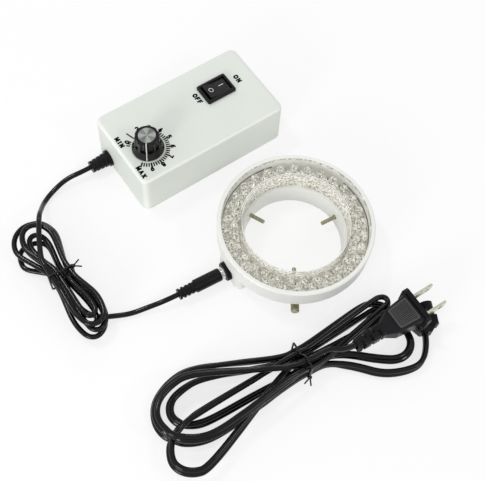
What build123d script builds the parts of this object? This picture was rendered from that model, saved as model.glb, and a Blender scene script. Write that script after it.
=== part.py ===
from build123d import *
from math import cos, hypot, pi, radians, sin, tan
import os

os.makedirs("parts", exist_ok=True)

# Shares and counts
half_share = 0.5
bend_share = 0.45
full_turn = 360.0
right_angle = 90.0
half_turn = 180.0

# Ring head, from the bore outwards
bore_radius = 30.5
collar_width = 7.5
lip_width = 1.8
cover_gap = 0.1
cover_wall = 1.2
board_gap = 0.4
led_count = 30
led_radius = 2.5
led_flange_width = 0.4
led_edge_gap = 0.05
led_gap = 0.17
board_edge = 0.1
board_fit = 0.3
ledge_width = 0.4
rim_width = 2.5
ring_draft = 0.3
led_half_step = pi / led_count
collar_radius = bore_radius + collar_width
inner_lip_radius = bore_radius + lip_width
led_flange_radius = led_radius + led_flange_width
led_board_inner = inner_lip_radius + cover_gap + cover_wall + board_gap
led_inner_ring = led_board_inner + led_flange_radius + led_edge_gap
led_spacing = led_flange_radius + led_flange_radius + led_gap
led_sideways = led_inner_ring * sin(led_half_step)
led_outer_ring = led_inner_ring * cos(led_half_step) + (led_spacing**2 - led_sideways**2) ** half_share
led_board_outer = led_outer_ring + led_flange_radius + board_edge
ledge_radius = led_board_outer + board_fit
rim_inner_radius = ledge_radius + ledge_width
ring_radius = rim_inner_radius + rim_width
ring_foot_radius = ring_radius - ring_draft

# Ring head, from the table upwards
floor_bottom = 10.0
floor_thickness = 2.0
inner_lip_rise = 3.0
ring_chamfer = 3.5
post_height = 1.2
board_thickness = 1.6
led_flange_height = 1.0
led_dome_base = 6.1
lamp_headroom = 1.8
cover_seat = 1.8
cover_thickness = 1.5
cover_proud = 0.3
rim_round = 0.6
post_radius = 1.5
stake_radius = 0.8
stake_edge = 1.3
stake_proud = 0.6
stake_count = 3
resistor_count = 10
resistor_length = 3.2
resistor_width = 1.6
resistor_height = 0.6
floor_top = floor_bottom + floor_thickness
inner_lip_height = floor_top + inner_lip_rise
ring_wall_foot = floor_bottom + ring_chamfer
board_bottom = floor_top + post_height
board_top = board_bottom + board_thickness
stake_top = board_top + stake_proud
stake_ring_radius = led_board_outer - stake_edge
resistor_ring = (led_board_inner + led_board_outer) * half_share
ledge_height = board_top + led_dome_base + led_radius + lamp_headroom
ring_height = ledge_height + cover_seat
cover_crest = ring_height + cover_proud

# Thumbscrews
screw_level = 6.75
screw_angles = (-90.0, 30.0, 150.0)
screw_names = ("front", "right", "left")
screw_radius = 1.25
screw_reach = 10.0
screw_tip_chamfer = 0.5
screw_head_gap = 3.5
screw_head_length = 8.0
screw_head_radius = 2.5
screw_head_round = 0.9
screw_groove_count = 16
screw_groove_radius = 0.3
insert_radius = 2.5
insert_inset = 1.0
insert_recess = 0.4
insert_fit = 0.05
screw_clear_radius = 1.6
screw_tip = bore_radius - screw_reach
screw_head_start = collar_radius + screw_head_gap
screw_head_end = screw_head_start + screw_head_length
insert_start = bore_radius + insert_inset
insert_end = collar_radius - insert_recess

# Jack and its boss
jack_angle = -150.0
boss_step = 0.9
boss_bite = 3.5
boss_half_width = 12.3
boss_corner = 4.0
boss_wall = 2.5
cavity_half_width = 5.5
cavity_bottom = 1.5
jack_radius = 4.0
jack_nose = 4.2
jack_length = 12.9
jack_back = 1.7
jack_bore_radius = 2.85
jack_pin_radius = 1.0
jack_pin_recess = 2.2
jack_pin_seat = 0.4
jack_nut_radius = 5.9
jack_nut_length = 3.0
jack_nut_grooves = 24
jack_nut_groove_radius = 0.35
jack_nut_chamfer = 0.5
tab_length = 1.8
tab_width = 1.2
tab_height = 1.0
tab_offset = 1.9
ring_wire_radius = 0.5
boss_face = ring_foot_radius - boss_step
boss_inner = bore_radius + boss_bite
cavity_start = boss_inner
cavity_end = boss_face - boss_wall
jack_end = boss_face + jack_nose
jack_nut_end = boss_face + jack_nut_length
jack_start = jack_end - jack_length
jack_bore_start = jack_start + jack_back
jack_pin_end = jack_end - jack_pin_recess
jack_pin_root = jack_start + jack_pin_seat

# Plug of the low-voltage lead
barrel_radius = 2.75
barrel_bore = 2.25
barrel_short = 3.3
insulator_inset = 0.3
contact_inset = 0.7
contact_radius = 1.45
contact_bore = 1.05
barrel_hold = 6.5
plug_gap = 1.0
plug_front_length = 17.5
plug_radius = 4.1
plug_round = 0.8
plug_tail_length = 10.7
plug_tail_front_radius = 3.3
plug_tail_back_radius = 2.6
plug_rib_radius = 3.5
plug_rib_count = 4
plug_rib_width = 1.3
plug_cord_hold = 10.5
barrel_start = jack_bore_start + barrel_short
insulator_start = barrel_start + insulator_inset
contact_start = barrel_start + contact_inset
plug_start = jack_end + plug_gap
plug_end = plug_start + plug_front_length
plug_tail_end = plug_end + plug_tail_length
barrel_end = plug_start + barrel_hold
plug_cord_start = plug_start + plug_cord_hold

# Control box, corner and turn in the row
box_corner_x = -91.83
box_corner_y = 19.44
box_turn = 35.1
box_length = 106.0
box_width = 59.0
box_height = 31.0
box_wall = 2.2
box_draft = 0.9
box_corner_radius = 5.5
box_edge_radius = 2.5
base_gap = 0.2
base_thickness = 2.4
case_screw_inset_u = 7.0
case_screw_inset_v = 7.0
case_column_radius = 3.0
case_screw_radius = 1.2
case_screw_head_radius = 2.7
case_screw_head_low = 0.4
case_screw_head_high = 1.5
case_screw_top = 12.0

# Circuit board of the box
pcb_inset_u = 12.0
pcb_inset_v = 6.0
pcb_bottom = 7.2
pcb_top = 8.8
inside_room = box_height - box_wall - pcb_top
standoff_radius = 2.5
standoff_inset = 5.0
board_screw_radius = 1.0
board_screw_head_radius = 2.2
board_screw_head_height = 1.5
board_screw_foot = 3.0
transformer_inset_u = 33.0
transformer_inset_v = 14.5
core_half_length = 10.0
core_height_share = 0.75
core_height = inside_room * core_height_share
core_half_depth = 3.0
core_limb = 3.0
core_window_far = 7.4
core_foot = 1.0
winding_half = 7.2
winding_gap = 0.1
winding_low = core_limb + winding_gap
winding_high = core_height - core_limb - winding_gap
filter_inset_u = 50.0
filter_shift = 1.875
filter_radius = 5.0
filter_height_share = 0.8
filter_height = inside_room * filter_height_share
output_inset_u = 16.0
output_step = 12.0
output_inset_v = 11.0
output_radius = 4.0
output_height_share = 0.6
output_height = inside_room * output_height_share
transistor_inset_u = 44.0
transistor_inset_v = 6.0
transistor_half_width = 5.0
transistor_depth = 4.4
transistor_low = 4.0
transistor_share = 0.65
transistor_tab_share = 0.925
transistor_high = inside_room * transistor_share
transistor_tab_high = inside_room * transistor_tab_share
transistor_tab_depth = 1.3
transistor_hole_radius = 1.8
transistor_leg_radius = 0.4
transistor_leg_step = 2.54
fuse_end_inset = 12.0
fuse_gap = 0.05
fuse_length = 20.0
fuse_radius = 2.3
fuse_cap_radius = 2.6
fuse_cap_length = 5.0

# Dimmer, knob and dial
knob_u = 17.0
knob_v = 21.5
dimmer_radius = 8.2
dimmer_low_share = 0.55
dimmer_high_share = 0.975
dimmer_low = pcb_top + inside_room * dimmer_low_share
dimmer_high = pcb_top + inside_room * dimmer_high_share
dimmer_bush_radius = 3.5
dimmer_bush_reach = 3.0
dimmer_bush_top = box_height + dimmer_bush_reach
dimmer_hole_radius = 3.6
dimmer_lug_length = 5.0
dimmer_lug_width = 1.5
dimmer_lug_height = 0.6
dimmer_lug_share = 0.61
dimmer_lug_level = pcb_top + inside_room * dimmer_lug_share
dimmer_lug_angles = (60.0, 90.0, 120.0)
shaft_radius = 3.0
shaft_fit = 0.05
shaft_low_share = 0.76
shaft_low = pcb_top + inside_room * shaft_low_share
shaft_end_depth = 1.5
washer_radius = 6.4
washer_height = 0.6
nut_across = 11.0
nut_height = 2.0
knob_gap = 0.5
knob_height = 13.0
knob_foot = box_height + knob_gap
knob_top = knob_foot + knob_height
shaft_high = knob_top - shaft_end_depth
skirt_radius = 10.0
skirt_edge = 0.8
skirt_height = 4.4
knob_top_radius = 7.65
knob_foot_radius = 8.1
knob_round = 0.6
knob_cavity_radius = 6.7
knob_cavity_depth = 3.2
flute_count = 10
flute_radius = 2.0
flute_depth = 0.6
flute_rise = 0.3
cap_radius = 5.4
cap_depth = 0.6
cap_rise = 0.5
cap_low = knob_top - cap_depth
cap_top = knob_top + cap_rise
cap_round = 0.3

# Rocker switch
switch_end_gap = 29.3
switch_side_gap = 23.6
bezel_half_length = 10.5
bezel_half_width = 7.5
bezel_height = 2.0
bezel_corner = 1.2
switch_half_length = 9.5
switch_half_width = 6.5
switch_foot_share = 0.36
switch_floor_share = 0.56
switch_foot = pcb_top + inside_room * switch_foot_share
switch_floor = pcb_top + inside_room * switch_floor_share
switch_cut_gap = 0.2
rocker_hole_half_length = 8.9
rocker_hole_half_width = 5.65
rocker_half_width = 5.3
rocker_pivot_depth = 2.0
rocker_pivot_level = box_height - rocker_pivot_depth
rocker_pivot_radius = 1.2
rocker_pivot_fit = 0.05
rocker_pivot_reach = 6.05
rocker_top_half = 8.1
rocker_top_height = 3.8
rocker_middle_height = 3.0
rocker_foot_half = 6.4
rocker_foot_depth = 2.2
rocker_tilt = 8.0
rocker_edge_round = 0.4
terminal_share = 0.11
terminal_foot = pcb_top + inside_room * terminal_share
terminal_half_width = 2.4
terminal_half_thickness = 0.4
terminal_step = 9.0

# Mains inlet in the far end wall
inlet_level = 16.5
inlet_depth = 16.5
inlet_half_width = 10.0
inlet_half_height = 6.0
inlet_flange_half_width = 12.5
inlet_flange_half_height = 8.0
inlet_flange_thickness = 1.4
inlet_cut_gap = 0.2
inlet_lobe_radius = 4.2
inlet_pitch = 8.6
inlet_recess_depth = 13.5
inlet_pin_radius = 1.2
inlet_pin_back = 2.5
inlet_pin_recess = 3.5

# Grommet of the low-voltage lead
grommet_side_gap = 15.8
grommet_level = 6.5
grommet_flange_radius = 5.5
grommet_flange = 2.0
grommet_neck_radius = 3.3
grommet_inner_radius = 3.8
grommet_inner_length = 2.0
grommet_reach = 13.6
grommet_front_radius = 4.8
grommet_tip_radius = 3.3
grommet_rib_count = 4
grommet_rib_width = 1.9
grommet_rib_step = 0.6

# Wires inside the box
wire_radius = 0.6
wire_gap = 1.4

# Places inside the box, from its walls
pcb_start_u = pcb_inset_u
pcb_end_u = box_length - pcb_inset_u
pcb_start_v = pcb_inset_v
pcb_end_v = box_width - pcb_inset_v
standoff_u = (pcb_start_u + standoff_inset, pcb_end_u - standoff_inset)
standoff_v = (pcb_start_v + standoff_inset, pcb_end_v - standoff_inset)
switch_u = box_length - switch_end_gap
switch_v = box_width - switch_side_gap
inlet_v = box_width * half_share
inlet_end = box_length + inlet_flange_thickness
inlet_start_u = box_length - inlet_depth
inlet_recess_start = inlet_end - inlet_recess_depth
inlet_pin_start = inlet_start_u - inlet_pin_back
inlet_pin_end = inlet_end - inlet_pin_recess
grommet_v = box_width - grommet_side_gap
transformer_u = pcb_start_u + transformer_inset_u
transformer_v = pcb_start_v + transformer_inset_v
filter_u = pcb_start_u + filter_inset_u
output_v = pcb_end_v - output_inset_v
output_first_u = pcb_start_u + output_inset_u
output_places = ((output_first_u, output_v), (output_first_u + output_step, output_v))
transistor_u = pcb_start_u + transistor_inset_u
transistor_v = pcb_end_v - transistor_inset_v
fuse_u = pcb_end_u - fuse_end_inset - fuse_length
fuse_v = switch_v - terminal_half_width - fuse_cap_radius - fuse_gap
filter_v = (pcb_start_v + fuse_v - fuse_cap_radius) * half_share - filter_shift
terminal_places = (-terminal_step * half_share, terminal_step * half_share)

# Cords
dc_cord_radius = 1.6
dc_cord_inside = 9.0
dc_cord_out = 18.0
floor_gap = 0.05
hank_lift = 1.3
dc_pitch = 3.7
dc_waist_half = 6.0
dc_hank_x = -137.8
dc_hank_y = -30.8
dc_hank_turn = -52.7
mains_half_height = 2.8
mains_half_width = 1.6
mains_pitch = 3.7
mains_layer = 6.1
mains_waist_half = 8.0
mains_hank_x = 2.8
mains_hank_y = -79.5
mains_hank_turn = 30.0
tie_radius = 0.6
tie_gap = 0.08
tie_slack = 0.4
tie_corner = 1.3
tie_tail = 4.5
tie_tail_radius = 0.45
tie_knot_radius = 1.25
tie_knot_shift = 0.5
dc_exit_run = 8.0
dc_plug_run = 6.5
mains_plug_run = 4.5
mains_start_run = 7.5
mains_exit_run = 9.0
connector_run = 4.5
sample_step = 1.6
least_neighbour = 9.0

# Mains plug
mains_plug_x = 69.9
mains_plug_y = -49.5
mains_plug_level = 17.0
mains_plug_turn = 33.3
flange_half_width = 11.8
flange_half_height = 8.0
flange_thickness = 3.0
flange_corner = 2.5
grip_length = 17.0
grip_half_width = 9.4
grip_half_height = 6.8
grip_back_half_width = 7.6
grip_back_half_height = 5.6
grip_corner = 1.6
neck_length = 6.0
neck_half_width = 4.4
neck_half_height = 4.2
relief_length = 18.0
relief_end_half_width = 3.5
relief_end_half_height = 3.9
relief_slot_count = 5
relief_slot_width = 1.8
relief_skin = 0.45
plug_cord_inset = 16.0
blade_pitch = 12.7
blade_thickness = 1.5
blade_width = 6.35
blade_reach = 16.3
blade_root = 10.0
blade_hole_radius = 1.6
blade_hole_place = 12.0
blade_tip_chamfer = 0.5

# Appliance connector
connector_x = 77.0
connector_y = -60.7
connector_turn = 97.0
connector_level = 4.4
connector_length = 19.5
connector_nose_length = 9.0
connector_lobe_radius = 3.8
connector_grip_half_width = 8.6
connector_grip_half_height = 4.2
connector_corner = 1.2
connector_tail_length = 4.5
connector_tail_half_width = 3.6
connector_tail_half_height = 3.6
connector_hole_radius = 1.6
connector_hole_depth = 11.5
connector_contact_radius = 1.5
connector_contact_bore = 1.25
connector_contact_length = 10.0
connector_cord_inset = 4.0


# Shape helpers
def save(shape, name):
    export_step(shape, "parts/" + name + ".step")


def heading(angle):
    return Vector(cos(radians(angle)), sin(radians(angle)), 0)


def axis_plane(angle, level):
    return Plane(origin=(0, 0, level), x_dir=(0, 0, 1), z_dir=tuple(heading(angle)))


def rod(plane, radius, start, end):
    return extrude(plane.offset(start) * Circle(radius), end - start)


def tube(plane, radius, bore, start, end):
    return extrude(plane.offset(start) * (Circle(radius) - Circle(bore)), end - start)


def cone_rod(plane, first_radius, last_radius, start, end):
    first = plane.offset(start) * Circle(first_radius)
    last = plane.offset(end) * Circle(last_radius)
    return loft([first, last])


def slab(place, half_x, half_y, low, high):
    face = place * Pos(0, 0, low) * Rectangle(half_x + half_x, half_y + half_y)
    return extrude(face, high - low)


def turned(points):
    face = make_face(Plane.XZ * Polyline(*points, close=True))
    return revolve(face, axis=Axis.Z)


def spread(shape, count, first_angle=0.0):
    step = full_turn / count
    return [Rot(0, 0, first_angle + k * step) * shape for k in range(count)]


def group(shapes):
    return Compound(children=[s for shape in shapes for s in shape.solids()])


# Ring housing
def ring_housing():
    points = [
        (bore_radius, 0),
        (collar_radius, 0),
        (collar_radius, floor_bottom),
        (ring_foot_radius - ring_chamfer, floor_bottom),
        (ring_foot_radius, ring_wall_foot),
        (ring_radius, ring_height - rim_round),
        (ring_radius - rim_round, ring_height),
        (rim_inner_radius, ring_height),
        (rim_inner_radius, ledge_height),
        (ledge_radius, ledge_height),
        (ledge_radius, floor_top),
        (inner_lip_radius, floor_top),
        (inner_lip_radius, inner_lip_height),
        (bore_radius, inner_lip_height),
    ]
    body = turned(points)
    jack_side = Rot(0, 0, jack_angle)
    depth = boss_face - boss_inner
    middle = (boss_face + boss_inner) * half_share
    boss = slab(jack_side * Pos(middle, 0, 0), depth * half_share, boss_half_width, 0, ring_wall_foot)
    corners = boss.edges().filter_by(Axis.Z).group_by(lambda e: hypot(*tuple(e.center())[:2]))[-1]
    boss = fillet(corners, boss_corner)
    body = body + boss
    body = body - turned(
        [
            (inner_lip_radius, floor_top),
            (ledge_radius, floor_top),
            (ledge_radius, ledge_height),
            (inner_lip_radius, ledge_height),
        ]
    )
    span = (cavity_end - cavity_start) * half_share
    cavity_middle = (cavity_end + cavity_start) * half_share
    body = body - slab(jack_side * Pos(cavity_middle, 0, 0), span, cavity_half_width, cavity_bottom, floor_top)
    jack_axis = axis_plane(jack_angle, screw_level)
    body = body - rod(jack_axis, jack_radius, cavity_end - rim_round, boss_face + rim_round)
    for angle in screw_angles:
        screw_axis = axis_plane(angle, screw_level)
        body = body - rod(screw_axis, insert_radius, insert_start, collar_radius + rim_round)
        body = body - rod(screw_axis, screw_clear_radius, bore_radius - rim_round, insert_start)
    post = Pos(stake_ring_radius, 0, floor_top) * Cylinder(
        post_radius, board_bottom - floor_top, align=(Align.CENTER, Align.CENTER, Align.MIN)
    )
    stake = Pos(stake_ring_radius, 0, board_bottom) * Cylinder(
        stake_radius, stake_top - board_bottom, align=(Align.CENTER, Align.CENTER, Align.MIN)
    )
    for piece in spread(post, stake_count) + spread(stake, stake_count):
        body = body + piece
    return body


save(ring_housing(), "ring_housing")

# Clear cover with its inner wall
cover_wall_inner = inner_lip_radius + cover_gap
cover_points = [
    (cover_wall_inner, floor_top),
    (cover_wall_inner + cover_wall, floor_top),
    (cover_wall_inner + cover_wall, ledge_height),
    (rim_inner_radius - cover_gap, ledge_height),
    (rim_inner_radius - cover_gap, ledge_height + cover_thickness),
    (cover_wall_inner + cover_wall, ledge_height + cover_thickness),
    (cover_wall_inner + cover_wall - cover_gap, cover_crest),
    (cover_wall_inner, cover_crest),
]
save(turned(cover_points), "ring_cover")

# Board of the lamps
led_board = turned(
    [
        (led_board_inner, board_bottom),
        (led_board_outer, board_bottom),
        (led_board_outer, board_top),
        (led_board_inner, board_top),
    ]
)
stake_hole = Pos(stake_ring_radius, 0, board_bottom) * Cylinder(
    stake_radius, board_top - board_bottom, align=(Align.CENTER, Align.CENTER, Align.MIN)
)
for hole in spread(stake_hole, stake_count):
    led_board = led_board - hole
save(led_board, "led_board")

# Lamps with a flange, a straight body and a dome
led_points = [
    (0, board_top),
    (led_flange_radius, board_top),
    (led_flange_radius, board_top + led_flange_height),
    (led_radius, board_top + led_flange_height),
    (led_radius, board_top + led_dome_base),
]
led_side = Polyline(*led_points)
led_crown = (0, board_top + led_dome_base + led_radius)
led_middle = (
    led_radius * cos(pi * half_share * half_share),
    board_top + led_dome_base + led_radius * sin(pi * half_share * half_share),
)
led_dome = ThreePointArc(led_points[-1], led_middle, led_crown)
led_axis_line = Line(led_crown, led_points[0])
lamp = revolve(make_face(Plane.XZ * (Curve() + [led_side, led_dome, led_axis_line])), axis=Axis.Z)
half_step = full_turn / led_count * half_share
save(group(spread(Pos(led_inner_ring, 0, 0) * lamp, led_count)), "led_inner_row")
save(group(spread(Pos(led_outer_ring, 0, 0) * lamp, led_count, half_step)), "led_outer_row")

# Resistors under the board
resistor = slab(
    Pos(resistor_ring, 0, 0),
    resistor_width * half_share,
    resistor_length * half_share,
    board_bottom - resistor_height,
    board_bottom,
)
save(group(spread(resistor, resistor_count, half_step)), "led_resistors")


# Brass inserts and thumbscrews
inserts = []
for angle, name in zip(screw_angles, screw_names):
    screw_axis = axis_plane(angle, screw_level)
    inserts.append(tube(screw_axis, insert_radius, screw_radius + insert_fit, insert_start, insert_end))
    shank = rod(screw_axis, screw_radius, screw_tip + screw_tip_chamfer, screw_head_start)
    tip = cone_rod(
        screw_axis, screw_radius - screw_tip_chamfer, screw_radius, screw_tip, screw_tip + screw_tip_chamfer
    )
    head = rod(screw_axis, screw_head_radius, screw_head_start, screw_head_end)
    outer_edge = head.edges().sort_by(lambda e: (Vector(*tuple(e.center()))).dot(heading(angle)))[-1]
    head = fillet(outer_edge, screw_head_round)
    for k in range(screw_groove_count):
        turn = full_turn / screw_groove_count * k
        groove_plane = screw_axis.offset(screw_head_start)
        groove = groove_plane * Rot(0, 0, turn) * Pos(screw_head_radius, 0, 0) * Circle(screw_groove_radius)
        head = head - extrude(groove, screw_head_end - screw_head_start - screw_head_round)
    save(shank + tip + head, "thumbscrew_" + name)
save(group(inserts), "screw_inserts")

# Jack, its pin, its nut and its wires
jack_axis = axis_plane(jack_angle, screw_level)
jack_body = tube(jack_axis, jack_radius, jack_bore_radius, jack_bore_start, jack_end)
jack_body = jack_body + tube(jack_axis, jack_radius, jack_pin_radius, jack_start, jack_bore_start)
ring_wires = []
for side in (-tab_offset, tab_offset):
    middle = jack_start - tab_length * half_share
    place = Rot(0, 0, jack_angle) * Pos(middle, side, 0)
    low = screw_level - tab_height * half_share
    high = screw_level + tab_height * half_share
    jack_body = jack_body + slab(place, tab_length * half_share, tab_width * half_share, low, high)
    wire_place = place * Pos(0, 0, high)
    ring_wires.append(extrude(wire_place * Circle(ring_wire_radius), board_bottom - high))
save(jack_body, "dc_jack_body")
save(group(ring_wires), "ring_wires")
pin = rod(jack_axis, jack_pin_radius, jack_pin_root, jack_pin_end)
save(pin, "dc_jack_pin")
jack_nut = tube(jack_axis, jack_nut_radius, jack_radius, boss_face, jack_nut_end - jack_nut_chamfer)
nut_front = cone_rod(
    jack_axis, jack_nut_radius, jack_nut_radius - jack_nut_chamfer, jack_nut_end - jack_nut_chamfer, jack_nut_end
)
jack_nut = jack_nut + (nut_front - rod(jack_axis, jack_radius, jack_nut_end - jack_nut_chamfer, jack_nut_end))
for k in range(jack_nut_grooves):
    turn = full_turn / jack_nut_grooves * k
    groove = jack_axis.offset(boss_face) * Rot(0, 0, turn) * Pos(jack_nut_radius, 0, 0)
    jack_nut = jack_nut - extrude(groove * Circle(jack_nut_groove_radius), jack_nut_length)
save(jack_nut, "dc_jack_nut")

# Barrel plug
save(tube(jack_axis, barrel_radius, barrel_bore, barrel_start, barrel_end), "dc_plug_barrel")
save(tube(jack_axis, barrel_bore, contact_radius, insulator_start, barrel_end), "dc_plug_insulator")
save(tube(jack_axis, contact_radius, contact_bore, contact_start, barrel_end), "dc_plug_contact")
plug_body = rod(jack_axis, plug_radius, plug_start, plug_end)
plug_body = fillet(plug_body.edges().filter_by(GeomType.CIRCLE), plug_round)
plug_body = plug_body + cone_rod(
    jack_axis, plug_tail_front_radius, plug_tail_back_radius, plug_end - plug_round, plug_tail_end
)
rib_step = (plug_tail_end - plug_end) / plug_rib_count
for k in range(plug_rib_count):
    rib_end = plug_tail_end - k * rib_step
    plug_body = plug_body + rod(jack_axis, plug_rib_radius, rib_end - plug_rib_width, rib_end)
plug_body = plug_body - rod(jack_axis, barrel_radius, plug_start, barrel_end)
plug_body = plug_body - rod(jack_axis, dc_cord_radius, plug_cord_start, plug_tail_end)
save(plug_body, "dc_plug_body")


# Control box: u along its length, v across, from the corner nearest the knob
box_place = Pos(box_corner_x, box_corner_y, 0) * Rot(0, 0, box_turn)


def at(u, v, z=0.0):
    return box_place * Pos(u, v, z)


def box_point(u, v, z):
    return tuple(Vector(*tuple((box_place * Pos(u, v, z)).position)))


def box_rod(u, v, radius, low, high):
    return extrude(at(u, v, low) * Circle(radius), high - low)


def box_tube(u, v, radius, bore, low, high):
    return extrude(at(u, v, low) * (Circle(radius) - Circle(bore)), high - low)


box_middle_u = box_length * half_share
box_middle_v = box_width * half_share
foot_face = at(box_middle_u, box_middle_v) * RectangleRounded(box_length, box_width, box_corner_radius)
shell = extrude(foot_face, box_height, taper=box_draft)
top_edges = shell.faces().sort_by(Axis.Z)[-1].edges()
shell = fillet(top_edges, box_edge_radius)
foot_edges = shell.faces().sort_by(Axis.Z)[0].edges()
shell = chamfer(foot_edges, case_screw_head_low)
cavity_face = at(box_middle_u, box_middle_v) * RectangleRounded(
    box_length - box_wall - box_wall, box_width - box_wall - box_wall, box_corner_radius - box_wall
)
shell = shell - extrude(cavity_face, box_height - box_wall, taper=box_draft)
column_places = []
for u in (case_screw_inset_u, box_length - case_screw_inset_u):
    for v in (case_screw_inset_v, box_width - case_screw_inset_v):
        column_places.append((u, v))
for u, v in column_places:
    column = box_tube(u, v, case_column_radius, case_screw_radius, base_thickness, case_screw_top)
    solid_top = box_rod(u, v, case_column_radius, case_screw_top, box_height - box_wall)
    shell = shell + column + solid_top
shell = shell - box_rod(knob_u, knob_v, dimmer_hole_radius, box_height - box_wall - box_wall, box_height)
shell = shell - slab(
    at(switch_u, switch_v),
    switch_half_length + switch_cut_gap,
    switch_half_width + switch_cut_gap,
    box_height - box_wall - box_wall,
    box_height,
)
shell = shell - slab(
    at(box_length, inlet_v),
    box_wall + box_wall,
    inlet_half_width + inlet_cut_gap,
    inlet_level - inlet_half_height - inlet_cut_gap,
    inlet_level + inlet_half_height + inlet_cut_gap,
)
grommet_axis = Plane(at(0, grommet_v, grommet_level) * Rot(0, -right_angle, 0))
shell = shell - rod(grommet_axis, grommet_neck_radius, -box_wall - box_wall, grommet_flange)
save(shell, "box_shell")

# Base plate with its standoffs
base_length = box_length - box_wall - box_wall - base_gap - base_gap
base_width = box_width - box_wall - box_wall - base_gap - base_gap
base_face = at(box_middle_u, box_middle_v) * RectangleRounded(
    base_length, base_width, box_corner_radius - box_wall - base_gap
)
base = extrude(base_face, base_thickness - base_gap)
for u in standoff_u:
    for v in standoff_v:
        base = base + box_tube(u, v, standoff_radius, board_screw_radius, base_thickness - base_gap, pcb_bottom)
        base = base - box_rod(u, v, board_screw_radius, board_screw_foot - base_gap, pcb_bottom)
for u, v in column_places:
    base = base - box_rod(u, v, case_screw_radius + base_gap, 0, base_thickness)
    base = base - box_rod(u, v, case_screw_head_radius + base_gap, 0, case_screw_head_high)
save(base, "box_base")

screws = []
for u, v in column_places:
    head = box_rod(u, v, case_screw_head_radius, case_screw_head_low, case_screw_head_high)
    shank = box_rod(u, v, case_screw_radius, case_screw_head_high, case_screw_top - base_gap)
    screws.append(head + shank)
save(group(screws), "case_screws")

# Circuit board and its screws
pcb = slab(
    at((pcb_start_u + pcb_end_u) * half_share, (pcb_start_v + pcb_end_v) * half_share),
    (pcb_end_u - pcb_start_u) * half_share,
    (pcb_end_v - pcb_start_v) * half_share,
    pcb_bottom,
    pcb_top,
)
screws = []
for u in standoff_u:
    for v in standoff_v:
        pcb = pcb - box_rod(u, v, board_screw_radius, pcb_bottom, pcb_top)
        head = box_rod(u, v, board_screw_head_radius, pcb_top, pcb_top + board_screw_head_height)
        screws.append(head + box_rod(u, v, board_screw_radius, board_screw_foot, pcb_top))
save(pcb, "circuit_board")
save(group(screws), "board_screws")

# Transformer
core_low = pcb_top + core_foot
core_place = at(transformer_u, transformer_v)
core = slab(core_place, core_half_length, core_half_depth, core_low, core_low + core_height)
window_middle = (core_limb + core_window_far) * half_share
window_half = (core_window_far - core_limb) * half_share
for side in (-window_middle, window_middle):
    window = slab(
        at(transformer_u + side, transformer_v),
        window_half,
        core_half_depth,
        core_low + core_limb,
        core_low + core_height - core_limb,
    )
    core = core - window
save(core, "transformer_core")
winding = slab(
    at(transformer_u, transformer_v), winding_half, winding_half, core_low + winding_low, core_low + winding_high
)
winding = fillet(winding.edges().filter_by(Axis.Z), rim_round)
winding = winding - slab(
    at(transformer_u, transformer_v), core_limb, core_half_depth, core_low + winding_low, core_low + winding_high
)
for side in (-winding_half + core_foot, winding_half - core_foot):
    foot = slab(at(transformer_u, transformer_v + side), core_limb, core_foot, pcb_top, core_low + winding_low)
    winding = winding + foot
save(winding, "transformer_winding")

# Capacitors, transistor and fuse
save(box_rod(filter_u, filter_v, filter_radius, pcb_top, pcb_top + filter_height), "filter_capacitor")
outputs = [box_rod(u, v, output_radius, pcb_top, pcb_top + output_height) for u, v in output_places]
save(group(outputs), "output_capacitors")
transistor = slab(
    at(transistor_u, transistor_v),
    transistor_half_width,
    transistor_depth * half_share,
    pcb_top + transistor_low,
    pcb_top + transistor_high,
)
tab_v = transistor_v + (transistor_depth - transistor_tab_depth) * half_share
tab = slab(
    at(transistor_u, tab_v),
    transistor_half_width,
    transistor_tab_depth * half_share,
    pcb_top + transistor_high,
    pcb_top + transistor_tab_high,
)
tab_hole_level = pcb_top + transistor_tab_high - transistor_hole_radius - transistor_tab_depth
tab_plane = Plane(at(transistor_u, tab_v, tab_hole_level) * Rot(right_angle, 0, 0))
tab = tab - rod(tab_plane, transistor_hole_radius, -transistor_depth, transistor_depth)
transistor = transistor + tab
for k in (-transistor_leg_step, 0, transistor_leg_step):
    leg = box_rod(transistor_u + k, transistor_v, transistor_leg_radius, pcb_top, pcb_top + transistor_low)
    transistor = transistor + leg
save(transistor, "power_transistor")
fuse_plane = Plane(at(fuse_u, fuse_v, pcb_top + fuse_cap_radius) * Rot(0, right_angle, 0))
fuse = rod(fuse_plane, fuse_radius, 0, fuse_length)
fuse = fuse + rod(fuse_plane, fuse_cap_radius, 0, fuse_cap_length)
fuse = fuse + rod(fuse_plane, fuse_cap_radius, fuse_length - fuse_cap_length, fuse_length)
save(fuse, "input_fuse")

# Dimmer potentiometer
dimmer = box_rod(knob_u, knob_v, dimmer_radius, dimmer_low, dimmer_high)
dimmer = dimmer + box_rod(knob_u, knob_v, dimmer_bush_radius, dimmer_high, dimmer_bush_top)
dimmer = dimmer - box_rod(knob_u, knob_v, shaft_radius + shaft_fit, shaft_low - shaft_fit, dimmer_bush_top)
box_wires = []
for angle in dimmer_lug_angles:
    reach = dimmer_radius + dimmer_lug_length * half_share
    place = at(knob_u, knob_v) * Rot(0, 0, angle) * Pos(dimmer_radius, 0, 0)
    lug = slab(
        place,
        dimmer_lug_length * half_share,
        dimmer_lug_width * half_share,
        dimmer_lug_level,
        dimmer_lug_level + dimmer_lug_height,
    )
    dimmer = dimmer + lug
    wire_place = place * Pos(dimmer_lug_length * half_share - wire_radius, 0, pcb_top)
    box_wires.append(extrude(wire_place * Circle(wire_radius), dimmer_lug_level - pcb_top))
save(dimmer, "dimmer_body")
save(box_rod(knob_u, knob_v, shaft_radius, shaft_low, shaft_high), "dimmer_shaft")
save(
    box_tube(knob_u, knob_v, washer_radius, dimmer_bush_radius, box_height, box_height + washer_height),
    "dimmer_washer",
)
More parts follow.
